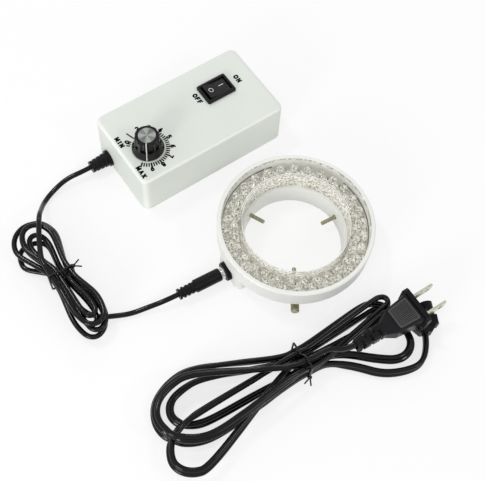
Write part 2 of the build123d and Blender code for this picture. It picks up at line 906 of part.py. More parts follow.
nut_face = at(knob_u, knob_v, box_height + washer_height) * (
    RegularPolygon(nut_across * half_share, 6, major_radius=False) - Circle(dimmer_bush_radius)
)
save(extrude(nut_face, nut_height), "dimmer_nut")

# Knob with skirt and flutes, and its cap
knob_points = [
    (0, knob_foot),
    (skirt_radius, knob_foot),
    (skirt_radius, knob_foot + skirt_edge),
    (knob_foot_radius, knob_foot + skirt_height),
    (knob_top_radius, knob_top - knob_round),
    (knob_top_radius - knob_round, knob_top),
    (cap_radius, knob_top),
    (cap_radius, cap_low),
    (0, cap_low),
]
knob = turned(knob_points)
knob = knob - (Pos(0, 0, knob_foot) * Cylinder(
    knob_cavity_radius, knob_cavity_depth, align=(Align.CENTER, Align.CENTER, Align.MIN)
))
knob = knob - (Pos(0, 0, knob_foot) * Cylinder(
    shaft_radius, shaft_high - knob_foot, align=(Align.CENTER, Align.CENTER, Align.MIN)
))
flute_low = knob_foot + skirt_height + flute_rise
flute = Pos(knob_top_radius + flute_radius - flute_depth, 0, flute_low) * Cylinder(
    flute_radius, knob_top - flute_low, align=(Align.CENTER, Align.CENTER, Align.MIN)
)
for piece in spread(flute, flute_count):
    knob = knob - piece
save(at(knob_u, knob_v) * knob, "knob")
cap = Pos(0, 0, cap_low) * Cylinder(cap_radius, cap_top - cap_low, align=(Align.CENTER, Align.CENTER, Align.MIN))
cap = fillet(cap.edges().filter_by(GeomType.CIRCLE).sort_by(Axis.Z)[-1], cap_round)
save(at(knob_u, knob_v) * cap, "knob_cap")

# Rocker switch
switch_place = at(switch_u, switch_v)
bezel_face = switch_place * Pos(0, 0, box_height) * RectangleRounded(
    bezel_half_length + bezel_half_length, bezel_half_width + bezel_half_width, bezel_corner
)
housing = extrude(bezel_face, bezel_height)
housing = fillet(housing.faces().sort_by(Axis.Z)[-1].edges(), rim_round)
housing = housing + slab(switch_place, switch_half_length, switch_half_width, switch_foot, box_height)
housing = housing - slab(
    switch_place, rocker_hole_half_length, rocker_hole_half_width, switch_floor, box_height + bezel_height
)
pivot_plane = Plane(switch_place * Pos(0, 0, rocker_pivot_level) * Rot(right_angle, 0, 0))
pivot_hole = rod(pivot_plane, rocker_pivot_radius + rocker_pivot_fit, -switch_half_width, switch_half_width)
housing = housing - pivot_hole
terminals = []
for place in terminal_places:
    spot = switch_place * Pos(place, 0, 0)
    housing = housing - slab(spot, terminal_half_thickness, terminal_half_width, switch_foot, switch_floor)
    terminals.append(slab(spot, terminal_half_thickness, terminal_half_width, terminal_foot, switch_floor))
    wire_spot = spot * Pos(0, 0, pcb_top)
    box_wires.append(extrude(wire_spot * Circle(wire_radius), terminal_foot - pcb_top))
save(housing, "switch_housing")
save(group(terminals), "switch_terminals")
rocker_points = [
    (-rocker_top_half, rocker_top_height),
    (0, rocker_middle_height),
    (rocker_top_half, rocker_top_height),
    (rocker_foot_half, -rocker_foot_depth),
    (-rocker_foot_half, -rocker_foot_depth),
]
rocker_face = make_face(Plane.XZ * Polyline(*rocker_points, close=True))
rocker = extrude(rocker_face, rocker_half_width, both=True)
rocker = fillet(rocker.faces().sort_by(Axis.Z)[-1].edges().filter_by(Axis.Y), rocker_edge_round)
rocker_pin = Rot(right_angle, 0, 0) * Cylinder(rocker_pivot_radius, rocker_pivot_reach + rocker_pivot_reach)
rocker = rocker + rocker_pin
save(switch_place * Pos(0, 0, rocker_pivot_level) * Rot(0, rocker_tilt, 0) * rocker, "rocker")

# Mains inlet
inlet_body_middle = (inlet_start_u + box_length) * half_share
inlet = slab(
    at(inlet_body_middle, inlet_v),
    (box_length - inlet_start_u) * half_share,
    inlet_half_width,
    inlet_level - inlet_half_height,
    inlet_level + inlet_half_height,
)
flange_plane = Plane(at(box_length, inlet_v, inlet_level) * Rot(0, right_angle, 0))
inlet = inlet + extrude(
    flange_plane * RectangleRounded(
        inlet_flange_half_height + inlet_flange_half_height,
        inlet_flange_half_width + inlet_flange_half_width,
        bezel_corner,
    ),
    inlet_flange_thickness,
)
lobes = Pos(0, -inlet_pitch * half_share) * Circle(inlet_lobe_radius)
lobes = lobes + Pos(0, inlet_pitch * half_share) * Circle(inlet_lobe_radius)
lobes = lobes + Rectangle(inlet_lobe_radius, inlet_pitch)
recess_depth = inlet_end - inlet_recess_start
inlet = inlet - extrude(flange_plane.offset(inlet_recess_start - box_length) * lobes, recess_depth)
pins = []
for side in (-inlet_pitch * half_share, inlet_pitch * half_share):
    pin_plane = Plane(at(0, inlet_v + side, inlet_level) * Rot(0, right_angle, 0))
    inlet = inlet - rod(pin_plane, inlet_pin_radius, inlet_start_u, inlet_recess_start)
    pins.append(rod(pin_plane, inlet_pin_radius, inlet_pin_start, inlet_pin_end))
    wire_spot = at(inlet_pin_start + inlet_pin_radius, inlet_v + side, pcb_top)
    wire_height = inlet_level - inlet_pin_radius - pcb_top
    box_wires.append(extrude(wire_spot * Circle(wire_radius), wire_height))
save(inlet, "inlet_housing")
save(group(pins), "inlet_pins")

# Grommet, its plane pointing out of the box
grommet = rod(grommet_axis, grommet_neck_radius, -box_wall - grommet_inner_length, 0)
grommet = grommet + rod(
    grommet_axis, grommet_inner_radius, -box_wall - grommet_inner_length, -box_wall - base_gap
)
grommet = grommet + rod(grommet_axis, grommet_flange_radius, 0, grommet_flange)
grommet = grommet + cone_rod(
    grommet_axis, grommet_front_radius - grommet_rib_step, grommet_tip_radius, grommet_flange, grommet_reach
)
grommet_step = (grommet_reach - grommet_flange) / grommet_rib_count
for k in range(grommet_rib_count):
    rib_end = grommet_flange + (k + 1) * grommet_step
    share = (k + 1) / grommet_rib_count
    rib_radius = grommet_front_radius + (grommet_tip_radius + grommet_rib_step - grommet_front_radius) * share
    grommet = grommet + rod(grommet_axis, rib_radius, rib_end - grommet_rib_width, rib_end)
grommet = grommet - rod(grommet_axis, dc_cord_radius, -box_wall - grommet_inner_length, grommet_reach)
save(grommet, "dc_strain_relief")

# Two wires from the lead's end down to the board
for side in (-wire_gap * half_share, wire_gap * half_share):
    wire_points = [
        box_point(dc_cord_inside, grommet_v + side, grommet_level),
        box_point(dc_cord_inside + wire_gap, grommet_v + side, grommet_level),
        box_point(dc_cord_inside + wire_gap, grommet_v + side, pcb_top + wire_gap + wire_gap),
        box_point(pcb_start_u + wire_gap + wire_gap, grommet_v + side, pcb_top + wire_gap + wire_gap),
        box_point(pcb_start_u + wire_gap + wire_gap, grommet_v + side, pcb_top),
    ]
    wire_path = FilletPolyline(*wire_points, radius=wire_radius + tie_gap)
    wire_section = Plane(origin=wire_points[0], z_dir=wire_path % 0) * Circle(wire_radius)
    box_wires.append(sweep(wire_section, path=wire_path))
save(group(box_wires), "box_wires")


# Cords: paths made of straight runs and arcs
def stretch_path(name, points):
    spots = [Vector(*p) for p in points]
    radii = []
    for before, here, after in zip(spots, spots[1:], spots[2:]):
        first = here - before
        last = after - here
        turn = radians(first.get_angle(last))
        shorter = min(first.length, last.length)
        radii.append(bend_share * shorter / tan(turn * half_share))
    print(name, "radii", [round(r) for r in radii])
    return FilletPolyline(*spots, radius=radii)


def biarc(start, start_dir, end, end_dir):
    gap = end - start
    if start_dir.get_angle(gap) < sample_step * tie_gap * tie_gap and start_dir.get_angle(end_dir) < tie_gap:
        return [Edge.make_line(start, end)]
    both = start_dir + end_dir
    dot = start_dir.dot(end_dir)
    if 1 - dot < tie_gap * tie_gap * tie_gap * tie_gap:
        reach = gap.dot(gap) / (gap.dot(end_dir) + gap.dot(end_dir) + gap.dot(end_dir) + gap.dot(end_dir))
    else:
        slope = gap.dot(both)
        double = (1 - dot) + (1 - dot)
        reach = (-slope + (slope * slope + double * gap.dot(gap)) ** half_share) / double
    joint = (start + end + (start_dir - end_dir) * reach) * half_share
    joint_dir = ((end - end_dir * reach) - (start + start_dir * reach)).normalized()
    first = Edge.make_tangent_arc(start, start_dir, joint)
    second = Edge.make_tangent_arc(joint, joint_dir, end)
    return [first, second]


def knot(centre_x, centre_y, turn, x, y, z, angle):
    along = heading(turn)
    across = heading(turn + right_angle)
    spot = Vector(centre_x, centre_y, z) + along * x + across * y
    return spot, heading(turn + angle)


def knot_wire(knots):
    edges = []
    for (start, start_dir), (end, end_dir) in zip(knots, knots[1:]):
        edges += biarc(start, start_dir, end, end_dir)
    return Wire(edges)


def samples(wire):
    spots = []
    travelled = 0.0
    for edge in wire.edges():
        count = max(2, round(edge.length / sample_step))
        for k in range(count):
            spots.append((travelled + edge.length * k / count, tuple(edge @ (k / count))))
        travelled += edge.length
    return spots


def least_gap(name, wire, gap_of):
    spots = samples(wire)
    least = None
    where = None
    for i, (here, a) in enumerate(spots):
        for there, b in spots[i + 1 :]:
            if there - here < least_neighbour:
                continue
            gap = gap_of(a, b)
            if least is None or gap < least:
                least = gap
                where = (a, b)
    print(name, "length", round(wire.length), "least gap", round(least, 2), "at", where)


def round_gap(a, b):
    distance = Vector(*a) - Vector(*b)
    return distance.length - dc_cord_radius - dc_cord_radius


def flat_gap(a, b):
    sideways = hypot(a[0] - b[0], a[1] - b[1]) - mains_half_width - mains_half_width
    upward = abs(a[2] - b[2]) - mains_half_height - mains_half_height
    return max(sideways, upward)


def round_sweep(path):
    return sweep(Plane(origin=path @ 0, z_dir=path % 0) * Circle(dc_cord_radius), path=path)


def flat_section(path):
    plane = Plane(origin=path @ 0, x_dir=(0, 0, 1), z_dir=path % 0)
    core_offset = mains_half_height - mains_half_width
    shape = Rectangle(core_offset + core_offset, mains_half_width + mains_half_width)
    shape = shape + Pos(-core_offset, 0) * Circle(mains_half_width)
    shape = shape + Pos(core_offset, 0) * Circle(mains_half_width)
    return plane * shape


# Low-voltage lead from the box over the hank
dc_base = dc_cord_radius + hank_lift


def dc_level(layer):
    return dc_base + layer * dc_pitch


def dc_knot(x, y, layer, angle):
    return knot(dc_hank_x, dc_hank_y, dc_hank_turn, x, y, dc_level(layer), angle)


hank_start = dc_knot(-dc_waist_half, -dc_pitch - dc_pitch * half_share, 4, 0)
hank_lead = dc_knot(-dc_waist_half - dc_waist_half, -dc_pitch - dc_pitch * half_share, 4, 0)
dc_first_points = [
    box_point(dc_cord_inside, grommet_v, grommet_level),
    box_point(-dc_cord_out, grommet_v, grommet_level),
    (-142.6, 39.2, 5.0),
    (-151.4, 30.6, 2.0),
    (-155.4, 22.6, 2.4),
    (-155.1, 14.4, 9.0),
    (-154.2, 4.6, 17.8),
    (-152.2, -11.5, 17.6),
    tuple(hank_lead[0]),
    tuple(hank_start[0]),
]
dc_first_path = stretch_path("dc_cord_from_box", dc_first_points)
save(round_sweep(dc_first_path), "dc_cord_from_box")

# Turns of the low-voltage hank: side, layer, near slot, knots, far slot
dc_turns = [
    ("right", 3, 1.5, (22.0, -7.0), (39.5, 1.0), (22.0, 9.5), 1.5),
    ("left", 3, 1.5, (-25.0, 9.5), (-38.0, 0.0), (-24.0, -9.0), 0.5),
    ("right", 3, 0.5, (22.0, -2.6), (33.5, 0.8), (20.0, 4.4), 0.5),
    ("left", 2, 0.5, (-22.0, 5.0), (-33.0, -0.5), (-23.0, -5.4), 0.5),
    ("right", 2, 0.5, (24.0, -4.0), (42.0, 0.0), (22.0, 9.5), 1.5),
    ("left", 2, 1.5, (-26.0, 11.5), (-41.5, -1.0), (-27.0, -14.5), 1.5),
    ("right", 1, 1.5, (26.0, -9.5), (43.5, -2.5), (22.0, 8.5), 1.5),
    ("left", 1, 1.5, (-27.0, 12.5), (-43.0, 2.0), (-26.0, -8.0), 0.5),
    ("right", 1, 0.5, (22.0, -4.0), (36.0, -1.0), (20.0, 3.8), 0.5),
    ("left", 0, 0.5, (-24.0, 5.0), (-33.0, -7.0), (-20.0, -15.0), 0.5),
]


def hank_knots(turns, pitch, waist_half, make):
    knots = []
    for side, layer, near_slot, first, tip, last, far_slot in turns:
        sign = 1 if side == "right" else -1
        out = 0 if side == "right" else half_turn
        back = half_turn - out
        knots.append(make(sign * waist_half, -sign * near_slot * pitch, layer, out))
        knots.append(make(first[0], first[1], layer, out))
        knots.append(make(tip[0], tip[1], layer, out + right_angle))
        knots.append(make(last[0], last[1], layer, back))
        knots.append(make(sign * waist_half, sign * far_slot * pitch, layer, back))
    return knots


dc_knots = [hank_start] + hank_knots(dc_turns, dc_pitch, dc_waist_half, dc_knot)
dc_knots.append(dc_knot(dc_waist_half, -dc_pitch * half_share, 0, 0))
dc_exit = dc_knot(32.9, 5.5, 0, 60.0)
dc_knots.append(dc_exit)
dc_hank_wire = knot_wire(dc_knots)
least_gap("dc_cord_hank", dc_hank_wire, round_gap)
save(round_sweep(dc_hank_wire), "dc_cord_hank")

# Low-voltage lead from the hank to the plug
plug_way = heading(jack_angle)
dc_last_points = [
    tuple(dc_exit[0]),
    tuple(dc_exit[0] + dc_exit[1] * dc_exit_run),
    (-96.6, -50.6, 1.7),
    (-86.4, -46.9, 3.6),
    tuple(plug_way * (plug_tail_end + dc_plug_run) + Vector(0, 0, screw_level)),
    tuple(plug_way * plug_cord_start + Vector(0, 0, screw_level)),
]
dc_last_path = stretch_path("dc_cord_to_plug", dc_last_points)
save(round_sweep(dc_last_path), "dc_cord_to_plug")

# Mains hank
mains_base = mains_half_height + hank_lift


def mains_knot(x, y, layer, angle):
    level = mains_base + layer * mains_layer
    return knot(mains_hank_x, mains_hank_y, mains_hank_turn, x, y, level, angle)


# Turns of the mains hank: side, layer, start slot, knots with their headings, end slot
mains_turns = [
    (-1, 2, -1.0, ((-62.0, 22.0, 180.0), (-89.5, 6.0, 270.0), (-62.0, -15.5, 360.0)), -2.0),
    (1, 1, -2.0, ((57.5, 3.2, 0.0), (64.0, 7.0, 90.0), (57.5, 10.8, 180.0)), 1.0),
    (-1, 1, 1.0, ((-60.0, 1.5, 180.0), (-92.0, -15.0, 270.0), (-76.0, -28.5, 360.0)), 0.0),
    (1, 0, 0.0, ((53.4, -1.2, 0.0), (58.0, 2.9, 90.0), (53.4, 7.0, 180.0)), 1.0),
    (-1, 0, 1.0, ((-56.0, 19.4, 180.0), (-80.5, 8.5, 270.0), (-60.0, -4.5, 360.0)), -1.0),
    (
        1,
        0,
        -1.0,
        ((30.0, -11.5, -38.0), (46.0, -23.6, -28.0), (57.0, -25.6, 18.0), (64.4, -18.0, 78.0), (64.6, 0.0, 96.0),
         (50.0, 12.6, 180.0)),
        2.0,
    ),
    (-1, 0, 2.0, ((-58.0, 28.0, 180.0), (-90.0, 7.0, 270.0), (-62.0, -13.8, 360.0)), -2.0),
]
mains_start = mains_knot(mains_waist_half, -mains_pitch, 2, 180.0)
mains_knots = [mains_start]
for sign, layer, near_slot, middle_knots, far_slot in mains_turns:
    out = half_turn if sign < 0 else 0.0
    back = 0.0 if sign < 0 else half_turn
    mains_knots.append(mains_knot(sign * mains_waist_half, near_slot * mains_pitch, layer, out))
    for x, y, angle in middle_knots:
        mains_knots.append(mains_knot(x, y, layer, angle))
    mains_knots.append(mains_knot(sign * mains_waist_half, far_slot * mains_pitch, layer, back))
mains_knots.append(mains_knot(mains_waist_half, -mains_pitch - mains_pitch, 0, 0))
mains_exit = mains_knot(20.0, -12.5, 0, -38.0)
mains_knots.append(mains_exit)
mains_wire = knot_wire(mains_knots)
least_gap("mains_cord_hank", mains_wire, flat_gap)
save(sweep(flat_section(mains_wire), path=mains_wire), "mains_cord_hank")

# Mains lead from the plug to the hank
plug_dir = heading(mains_plug_turn)
plug_centre = Vector(mains_plug_x, mains_plug_y, mains_plug_level)
plug_length = flange_thickness + grip_length + neck_length + relief_length
relief_end = plug_centre - plug_dir * plug_length
mains_first_points = [
    tuple(relief_end + plug_dir * plug_cord_inset),
    tuple(relief_end - plug_dir * mains_plug_run),
    tuple(mains_start[0] - mains_start[1] * mains_start_run),
    tuple(mains_start[0]),
]
mains_first_path = stretch_path("mains_cord_from_plug", mains_first_points)
save(sweep(flat_section(mains_first_path), path=mains_first_path), "mains_cord_from_plug")

# Mains lead from the hank to the connector
connector_dir = heading(connector_turn)
connector_rear = Vector(connector_x, connector_y, connector_level)


def mains_point(x, y, z):
    return tuple(knot(mains_hank_x, mains_hank_y, mains_hank_turn, x, y, z, 0)[0])


mains_last_points = [
    tuple(mains_exit[0]),
    tuple(mains_exit[0] + mains_exit[1] * mains_exit_run),
    mains_point(38.0, -29.2, mains_base),
    mains_point(52.0, -34.5, mains_base),
    mains_point(62.5, -34.6, mains_base),
    tuple(connector_rear - connector_dir * connector_run),
    tuple(connector_rear + connector_dir * connector_cord_inset),
]
mains_last_path = stretch_path("mains_cord_to_connector", mains_last_points)
save(sweep(flat_section(mains_last_path), path=mains_last_path), "mains_cord_to_connector")


# Wire ties round the waists
def tie(centre_x, centre_y, turn, corners, tail_from, tail_turns):
    across = heading(turn + right_angle)
    centre = Vector(centre_x, centre_y, 0)
    spots = [centre + across * y + Vector(0, 0, z) for y, z in corners]
    loop = FilletPolyline(*spots, radius=tie_corner, close=True)
    band = sweep(Plane(origin=loop @ 0, z_dir=loop % 0) * Circle(tie_radius), path=loop)
    outward = tie_knot_shift if tail_from[0] > 0 else -tie_knot_shift
    root = centre + across * (tail_from[0] + outward) + Vector(0, 0, tail_from[1])
    band = band + Pos(*root) * Sphere(tie_knot_radius)
    for angle in tail_turns:
        way = heading(turn + angle)
        tail_plane = Plane(origin=tuple(root + way * tie_radius), z_dir=tuple(way))
        band = band + extrude(tail_plane * Circle(tie_tail_radius), tie_tail)
    return band


reach = tie_radius + tie_gap
dc_side = dc_pitch + dc_pitch * half_share + dc_cord_radius + reach
dc_roof = dc_level(3) + dc_cord_radius + reach
dc_peak = dc_level(3.5) + dc_cord_radius + reach + tie_slack
dc_foot = hank_lift - reach
dc_corners = [
    (-dc_side, dc_foot),
    (dc_side, dc_foot),
    (dc_side, dc_roof),
    (0, dc_roof),
    (-dc_pitch, dc_peak),
    (-dc_side, dc_peak),
]
dc_tail = (dc_side, dc_roof - tie_corner - tie_knot_radius)
dc_tie = tie(dc_hank_x, dc_hank_y, dc_hank_turn, dc_corners, dc_tail, (50.0, 110.0))
save(dc_tie, "dc_hank_tie")
mains_side = mains_pitch + mains_pitch + mains_half_width + reach
mains_roof = mains_base + mains_layer + mains_half_height + reach
mains_peak = mains_base + mains_layer + mains_layer + mains_half_height + reach
mains_corners = [
    (mains_side, hank_lift - reach),
    (mains_side, mains_roof),
    (mains_half_width, mains_roof),
    (-mains_half_width + tie_gap, mains_peak),
    (-mains_side, mains_peak),
    (-mains_side, hank_lift - reach),
]
mains_tie = tie(
    mains_hank_x, mains_hank_y, mains_hank_turn, mains_corners, (-mains_side, mains_base), (200.0, 245.0)
)
save(mains_tie, "mains_hank_tie")


# Mains plug: its plane looks along the blades
plug_across = heading(mains_plug_turn + right_angle)
plug_plane = Plane(origin=tuple(plug_centre), x_dir=tuple(plug_across), z_dir=tuple(plug_dir))


def plug_face(back, half_width, half_height, corner):
    return plug_plane.offset(-back) * RectangleRounded(half_width + half_width, half_height + half_height, corner)


body = extrude(plug_face(flange_thickness, flange_half_width, flange_half_height, flange_corner), flange_thickness)
grip_end = flange_thickness + grip_length
neck_end = grip_end + neck_length
body = body + loft(
    [
        plug_face(flange_thickness, grip_half_width, grip_half_height, grip_corner),
        plug_face(grip_end, grip_back_half_width, grip_back_half_height, grip_corner),
    ]
)
body = body + loft(
    [
        plug_face(grip_end, grip_back_half_width, grip_back_half_height, grip_corner),
        plug_face(neck_end, neck_half_width, neck_half_height, grip_corner),
    ]
)
relief = loft(
    [
        plug_face(neck_end, neck_half_width, neck_half_height, grip_corner),
        plug_face(plug_length, relief_end_half_width, relief_end_half_height, grip_corner),
    ]
)
slot_step = relief_length / (relief_slot_count + 1)
skin_half_width = mains_half_width + relief_skin
skin_half_height = mains_half_height + relief_skin
for k in range(relief_slot_count):
    middle = neck_end + (k + 1) * slot_step
    slot_plane = plug_plane.offset(-middle - relief_slot_width * half_share)
    side = neck_half_width if k % 2 else -neck_half_width
    cut_width = neck_half_width + neck_half_width
    cut_height = neck_half_height + neck_half_height + relief_skin + relief_skin
    cut = Pos(side, 0) * Rectangle(cut_width, cut_height)
    cut = cut - Rectangle(skin_half_width + skin_half_width, skin_half_height + skin_half_height)
    relief = relief - extrude(slot_plane * cut, relief_slot_width)
body = body + relief
cord_hole = flat_section(mains_first_path)
body = body - extrude(cord_hole, plug_cord_inset)
blades = []
for side in (-blade_pitch * half_share, blade_pitch * half_share):
    blade_face = plug_plane.offset(-blade_root) * Pos(side, 0) * Rectangle(blade_thickness, blade_width)
    blade = extrude(blade_face, blade_root + blade_reach)
    tip_edges = blade.edges().sort_by(lambda e: Vector(*tuple(e.center())).dot(plug_dir))[-4:]
    blade = chamfer(tip_edges, blade_tip_chamfer)
    hole_spot = plug_centre + plug_dir * blade_hole_place
    hole_plane = Plane(origin=tuple(hole_spot), z_dir=tuple(plug_across)).offset(side - blade_thickness)
    hole = extrude(hole_plane * Circle(blade_hole_radius), blade_thickness + blade_thickness)
    blades.append(blade - hole)
    body = body - extrude(blade_face, blade_root)
save(body, "mains_plug_body")
save(group(blades), "plug_blades")

# Appliance connector: its plane looks along the nose
connector_plane = Plane(
    origin=tuple(connector_rear),
    x_dir=tuple(heading(connector_turn - right_angle)),
    z_dir=tuple(connector_dir),
)


def connector_face(place, half_width, half_height, corner):
    return connector_plane.offset(place) * RectangleRounded(
        half_width + half_width, half_height + half_height, corner
    )


nose_start = connector_length - connector_nose_length
lobe_half = inlet_pitch * half_share
nose_shape = Pos(-lobe_half, 0) * Circle(connector_lobe_radius)
nose_shape = nose_shape + Pos(lobe_half, 0) * Circle(connector_lobe_radius)
nose_shape = nose_shape + Rectangle(inlet_pitch, connector_lobe_radius - connector_corner)
connector = extrude(connector_plane.offset(nose_start) * nose_shape, connector_nose_length)
connector = connector + extrude(
    connector_face(connector_tail_length, connector_grip_half_width, connector_grip_half_height, connector_corner),
    nose_start - connector_tail_length,
)
connector = connector + loft(
    [
        connector_face(0, connector_tail_half_width, connector_tail_half_height, connector_corner),
        connector_face(
            connector_tail_length,
            connector_grip_half_width - connector_corner,
            connector_grip_half_height - connector_corner * half_share,
            connector_corner,
        ),
    ]
)
contacts = []
for side in (-lobe_half, lobe_half):
    line = Plane(connector_plane.location * Pos(side, 0, 0))
    first = connector_length - connector_hole_depth
    connector = connector - rod(line, connector_hole_radius, first, connector_length)
    contact_end = first + connector_contact_length
    contacts.append(tube(line, connector_contact_radius, connector_contact_bore, first, contact_end))
core_lift = mains_half_height - mains_half_width
cord_socket = connector_plane * (
    Rectangle(mains_half_width + mains_half_width, core_lift + core_lift)
    + Pos(0, core_lift) * Circle(mains_half_width)
    + Pos(0, -core_lift) * Circle(mains_half_width)
)
connector = connector - extrude(cord_socket, connector_cord_inset)
save(connector, "connector_body")
save(group(contacts), "connector_contacts")
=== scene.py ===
from math import cos, pi, radians, sin

import bpy
import bmesh
from mathutils import Matrix, Vector
from mathutils.kdtree import KDTree


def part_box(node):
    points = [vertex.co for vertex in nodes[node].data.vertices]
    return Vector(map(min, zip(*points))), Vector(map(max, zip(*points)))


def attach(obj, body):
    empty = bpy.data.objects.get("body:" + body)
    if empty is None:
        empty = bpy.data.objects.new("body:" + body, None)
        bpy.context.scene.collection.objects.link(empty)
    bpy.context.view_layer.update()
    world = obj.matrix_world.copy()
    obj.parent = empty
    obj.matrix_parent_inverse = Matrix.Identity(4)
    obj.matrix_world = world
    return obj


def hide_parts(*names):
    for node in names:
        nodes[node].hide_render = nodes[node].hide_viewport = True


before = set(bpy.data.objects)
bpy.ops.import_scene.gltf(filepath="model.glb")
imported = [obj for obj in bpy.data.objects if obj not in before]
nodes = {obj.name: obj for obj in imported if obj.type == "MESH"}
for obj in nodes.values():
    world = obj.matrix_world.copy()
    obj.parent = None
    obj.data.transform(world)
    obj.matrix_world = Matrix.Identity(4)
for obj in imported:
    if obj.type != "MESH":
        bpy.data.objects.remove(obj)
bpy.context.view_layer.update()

MM = 0.001
UP = Vector((0.0, 0.0, 1.0))
ROOT = "box_and_leads"
RING = "ring_head"
KNOB = "dimmer_knob"
ROCKER = "power_rocker"

# Control box, with lengths in millimetres as in part.py
BOX_CORNER = Vector((-91.83, 19.44, 0.0))
BOX_TURN = radians(35.1)
BOX_U = Vector((cos(BOX_TURN), sin(BOX_TURN), 0.0))
BOX_V = Vector((-sin(BOX_TURN), cos(BOX_TURN), 0.0))
BOX_TOP = 31.0
KNOB_U = 17.0
KNOB_V = 21.5


def heading(angle):
    """Level unit vector at an angle in degrees from the X axis."""
    return Vector((cos(radians(angle)), sin(radians(angle)), 0.0))


def box_heading(angle):
    """Level unit vector at an angle in degrees from the box's long side."""
    return BOX_U * cos(radians(angle)) + BOX_V * sin(radians(angle))


def box_point(u, v, z):
    return BOX_CORNER + BOX_U * u + BOX_V * v + UP * z


# Node helpers
def shader(name):
    mat = bpy.data.materials.new(name)
    mat.use_nodes = True
    tree = mat.node_tree
    tree.nodes.clear()
    output = tree.nodes.new("ShaderNodeOutputMaterial")
    bsdf = tree.nodes.new("ShaderNodeBsdfPrincipled")
    tree.links.new(bsdf.outputs["BSDF"], output.inputs["Surface"])
    return mat, tree, bsdf


def noise(tree, scale, detail=3.0, stretch=None):
    coords = tree.nodes.new("ShaderNodeTexCoord")
    texture = tree.nodes.new("ShaderNodeTexNoise")
    texture.inputs["Scale"].default_value = scale
    texture.inputs["Detail"].default_value = detail
    if stretch is None:
        tree.links.new(coords.outputs["Object"], texture.inputs["Vector"])
    else:
        mapping = tree.nodes.new("ShaderNodeMapping")
        mapping.inputs["Scale"].default_value = stretch
        tree.links.new(coords.outputs["Object"], mapping.inputs["Vector"])
        tree.links.new(mapping.outputs["Vector"], texture.inputs["Vector"])
    return texture.outputs["Fac"]


def ramp(tree, source, low, dark, high, light):
    """Colour from dark, where the source is low, to light, where it is high."""
    node = tree.nodes.new("ShaderNodeValToRGB")
    for element, place, colour in zip(node.color_ramp.elements, (low, high), (dark, light)):
        element.position = place
        element.color = (*colour, 1.0)
    tree.links.new(source, node.inputs["Fac"])
    return node.outputs["Color"]


def spread(tree, source, low, high, source_low=0.3, source_high=0.7):
    """The source's range mapped to low and high."""
    node = tree.nodes.new("ShaderNodeMapRange")
    node.inputs["From Min"].default_value = source_low
    node.inputs["From Max"].default_value = source_high
    node.inputs["To Min"].default_value = low
    node.inputs["To Max"].default_value = high
    tree.links.new(source, node.inputs["Value"])
    return node.outputs["Result"]


def maths(tree, operation, first, second=None):
    node = tree.nodes.new("ShaderNodeMath")
    node.operation = operation
    for socket, value in zip(node.inputs, (first, second)):
        if value is None:
            continue
        if isinstance(value, (int, float)):
            socket.default_value = value
        else:
            tree.links.new(value, socket)
    return node.outputs["Value"]


def mixed(tree, factor, first, second):
    """Two colours mixed. The factor is a number or a socket, and each colour is a tuple or a socket."""
    node = tree.nodes.new("ShaderNodeMix")
    node.data_type = "RGBA"
    if isinstance(factor, float):
        node.inputs["Factor"].default_value = factor
    else:
        tree.links.new(factor, node.inputs["Factor"])
    for socket, value in ((node.inputs[6], first), (node.inputs[7], second)):
        if isinstance(value, tuple):
            socket.default_value = (*value, 1.0)
        else:
            tree.links.new(value, socket)
    return node.outputs[2]


def bump(tree, bsdf, height, strength):
    node = tree.nodes.new("ShaderNodeBump")
    node.inputs["Strength"].default_value = strength
    node.inputs["Distance"].default_value = 0.1 * MM
    tree.links.new(height, node.inputs["Height"])
    tree.links.new(node.outputs["Normal"], bsdf.inputs["Normal"])


def oblique(tree, axes, low, high):
    """A mask of the places where the surface faces none of the axes, such as rounded edges."""
    geometry = tree.nodes.new("ShaderNodeNewGeometry")
    best = None
    for axis in axes:
        dot = tree.nodes.new("ShaderNodeVectorMath")
        dot.operation = "DOT_PRODUCT"
        dot.inputs[1].default_value = axis
        tree.links.new(geometry.outputs["Normal"], dot.inputs[0])
        size = maths(tree, "ABSOLUTE", dot.outputs["Value"])
        best = size if best is None else maths(tree, "MAXIMUM", best, size)
    return spread(tree, maths(tree, "SUBTRACT", 1.0, best), 0.0, 1.0, low, high)


# Kinds of material: dark and light are the colours that the noise goes between
def plastic(name, dark, light, rough, grain=900.0, depth=0.08, blotch=40.0, specular=0.5):
    mat, tree, bsdf = shader(name)
    tree.links.new(ramp(tree, noise(tree, blotch, 4.0), 0.3, dark, 0.7, light), bsdf.inputs["Base Color"])
    fine = noise(tree, grain, 2.0)
    tree.links.new(spread(tree, fine, *rough), bsdf.inputs["Roughness"])
    bump(tree, bsdf, fine, depth)
    bsdf.inputs["Specular IOR Level"].default_value = specular
    return mat


def pale_case(name, dark, light, edge):
    """Moulded plastic with a painted highlight: its rounded edges are painted a little paler than its flat
    sides.
    """
    mat, tree, bsdf = shader(name)
    body = ramp(tree, noise(tree, 26.0, 5.0), 0.3, dark, 0.7, light)
    # Painted highlight along the rounded edges, in the edge colour
    edges = oblique(tree, (tuple(BOX_U), tuple(BOX_V), tuple(UP)), 0.03, 0.2)
    tree.links.new(mixed(tree, edges, body, edge), bsdf.inputs["Base Color"])
    fine = noise(tree, 1600.0, 2.0)
    tree.links.new(spread(tree, fine, 0.42, 0.55), bsdf.inputs["Roughness"])
    bump(tree, bsdf, fine, 0.10)
    return mat


def metal(name, dark, light, rough, stretch=None, grain=1500.0, depth=0.05, metallic=1.0):
    mat, tree, bsdf = shader(name)
    streak = noise(tree, grain, 3.0, stretch)
    tree.links.new(ramp(tree, streak, 0.3, dark, 0.7, light), bsdf.inputs["Base Color"])
    tree.links.new(spread(tree, streak, *rough), bsdf.inputs["Roughness"])
    bsdf.inputs["Metallic"].default_value = metallic
    bump(tree, bsdf, streak, depth)
    return mat


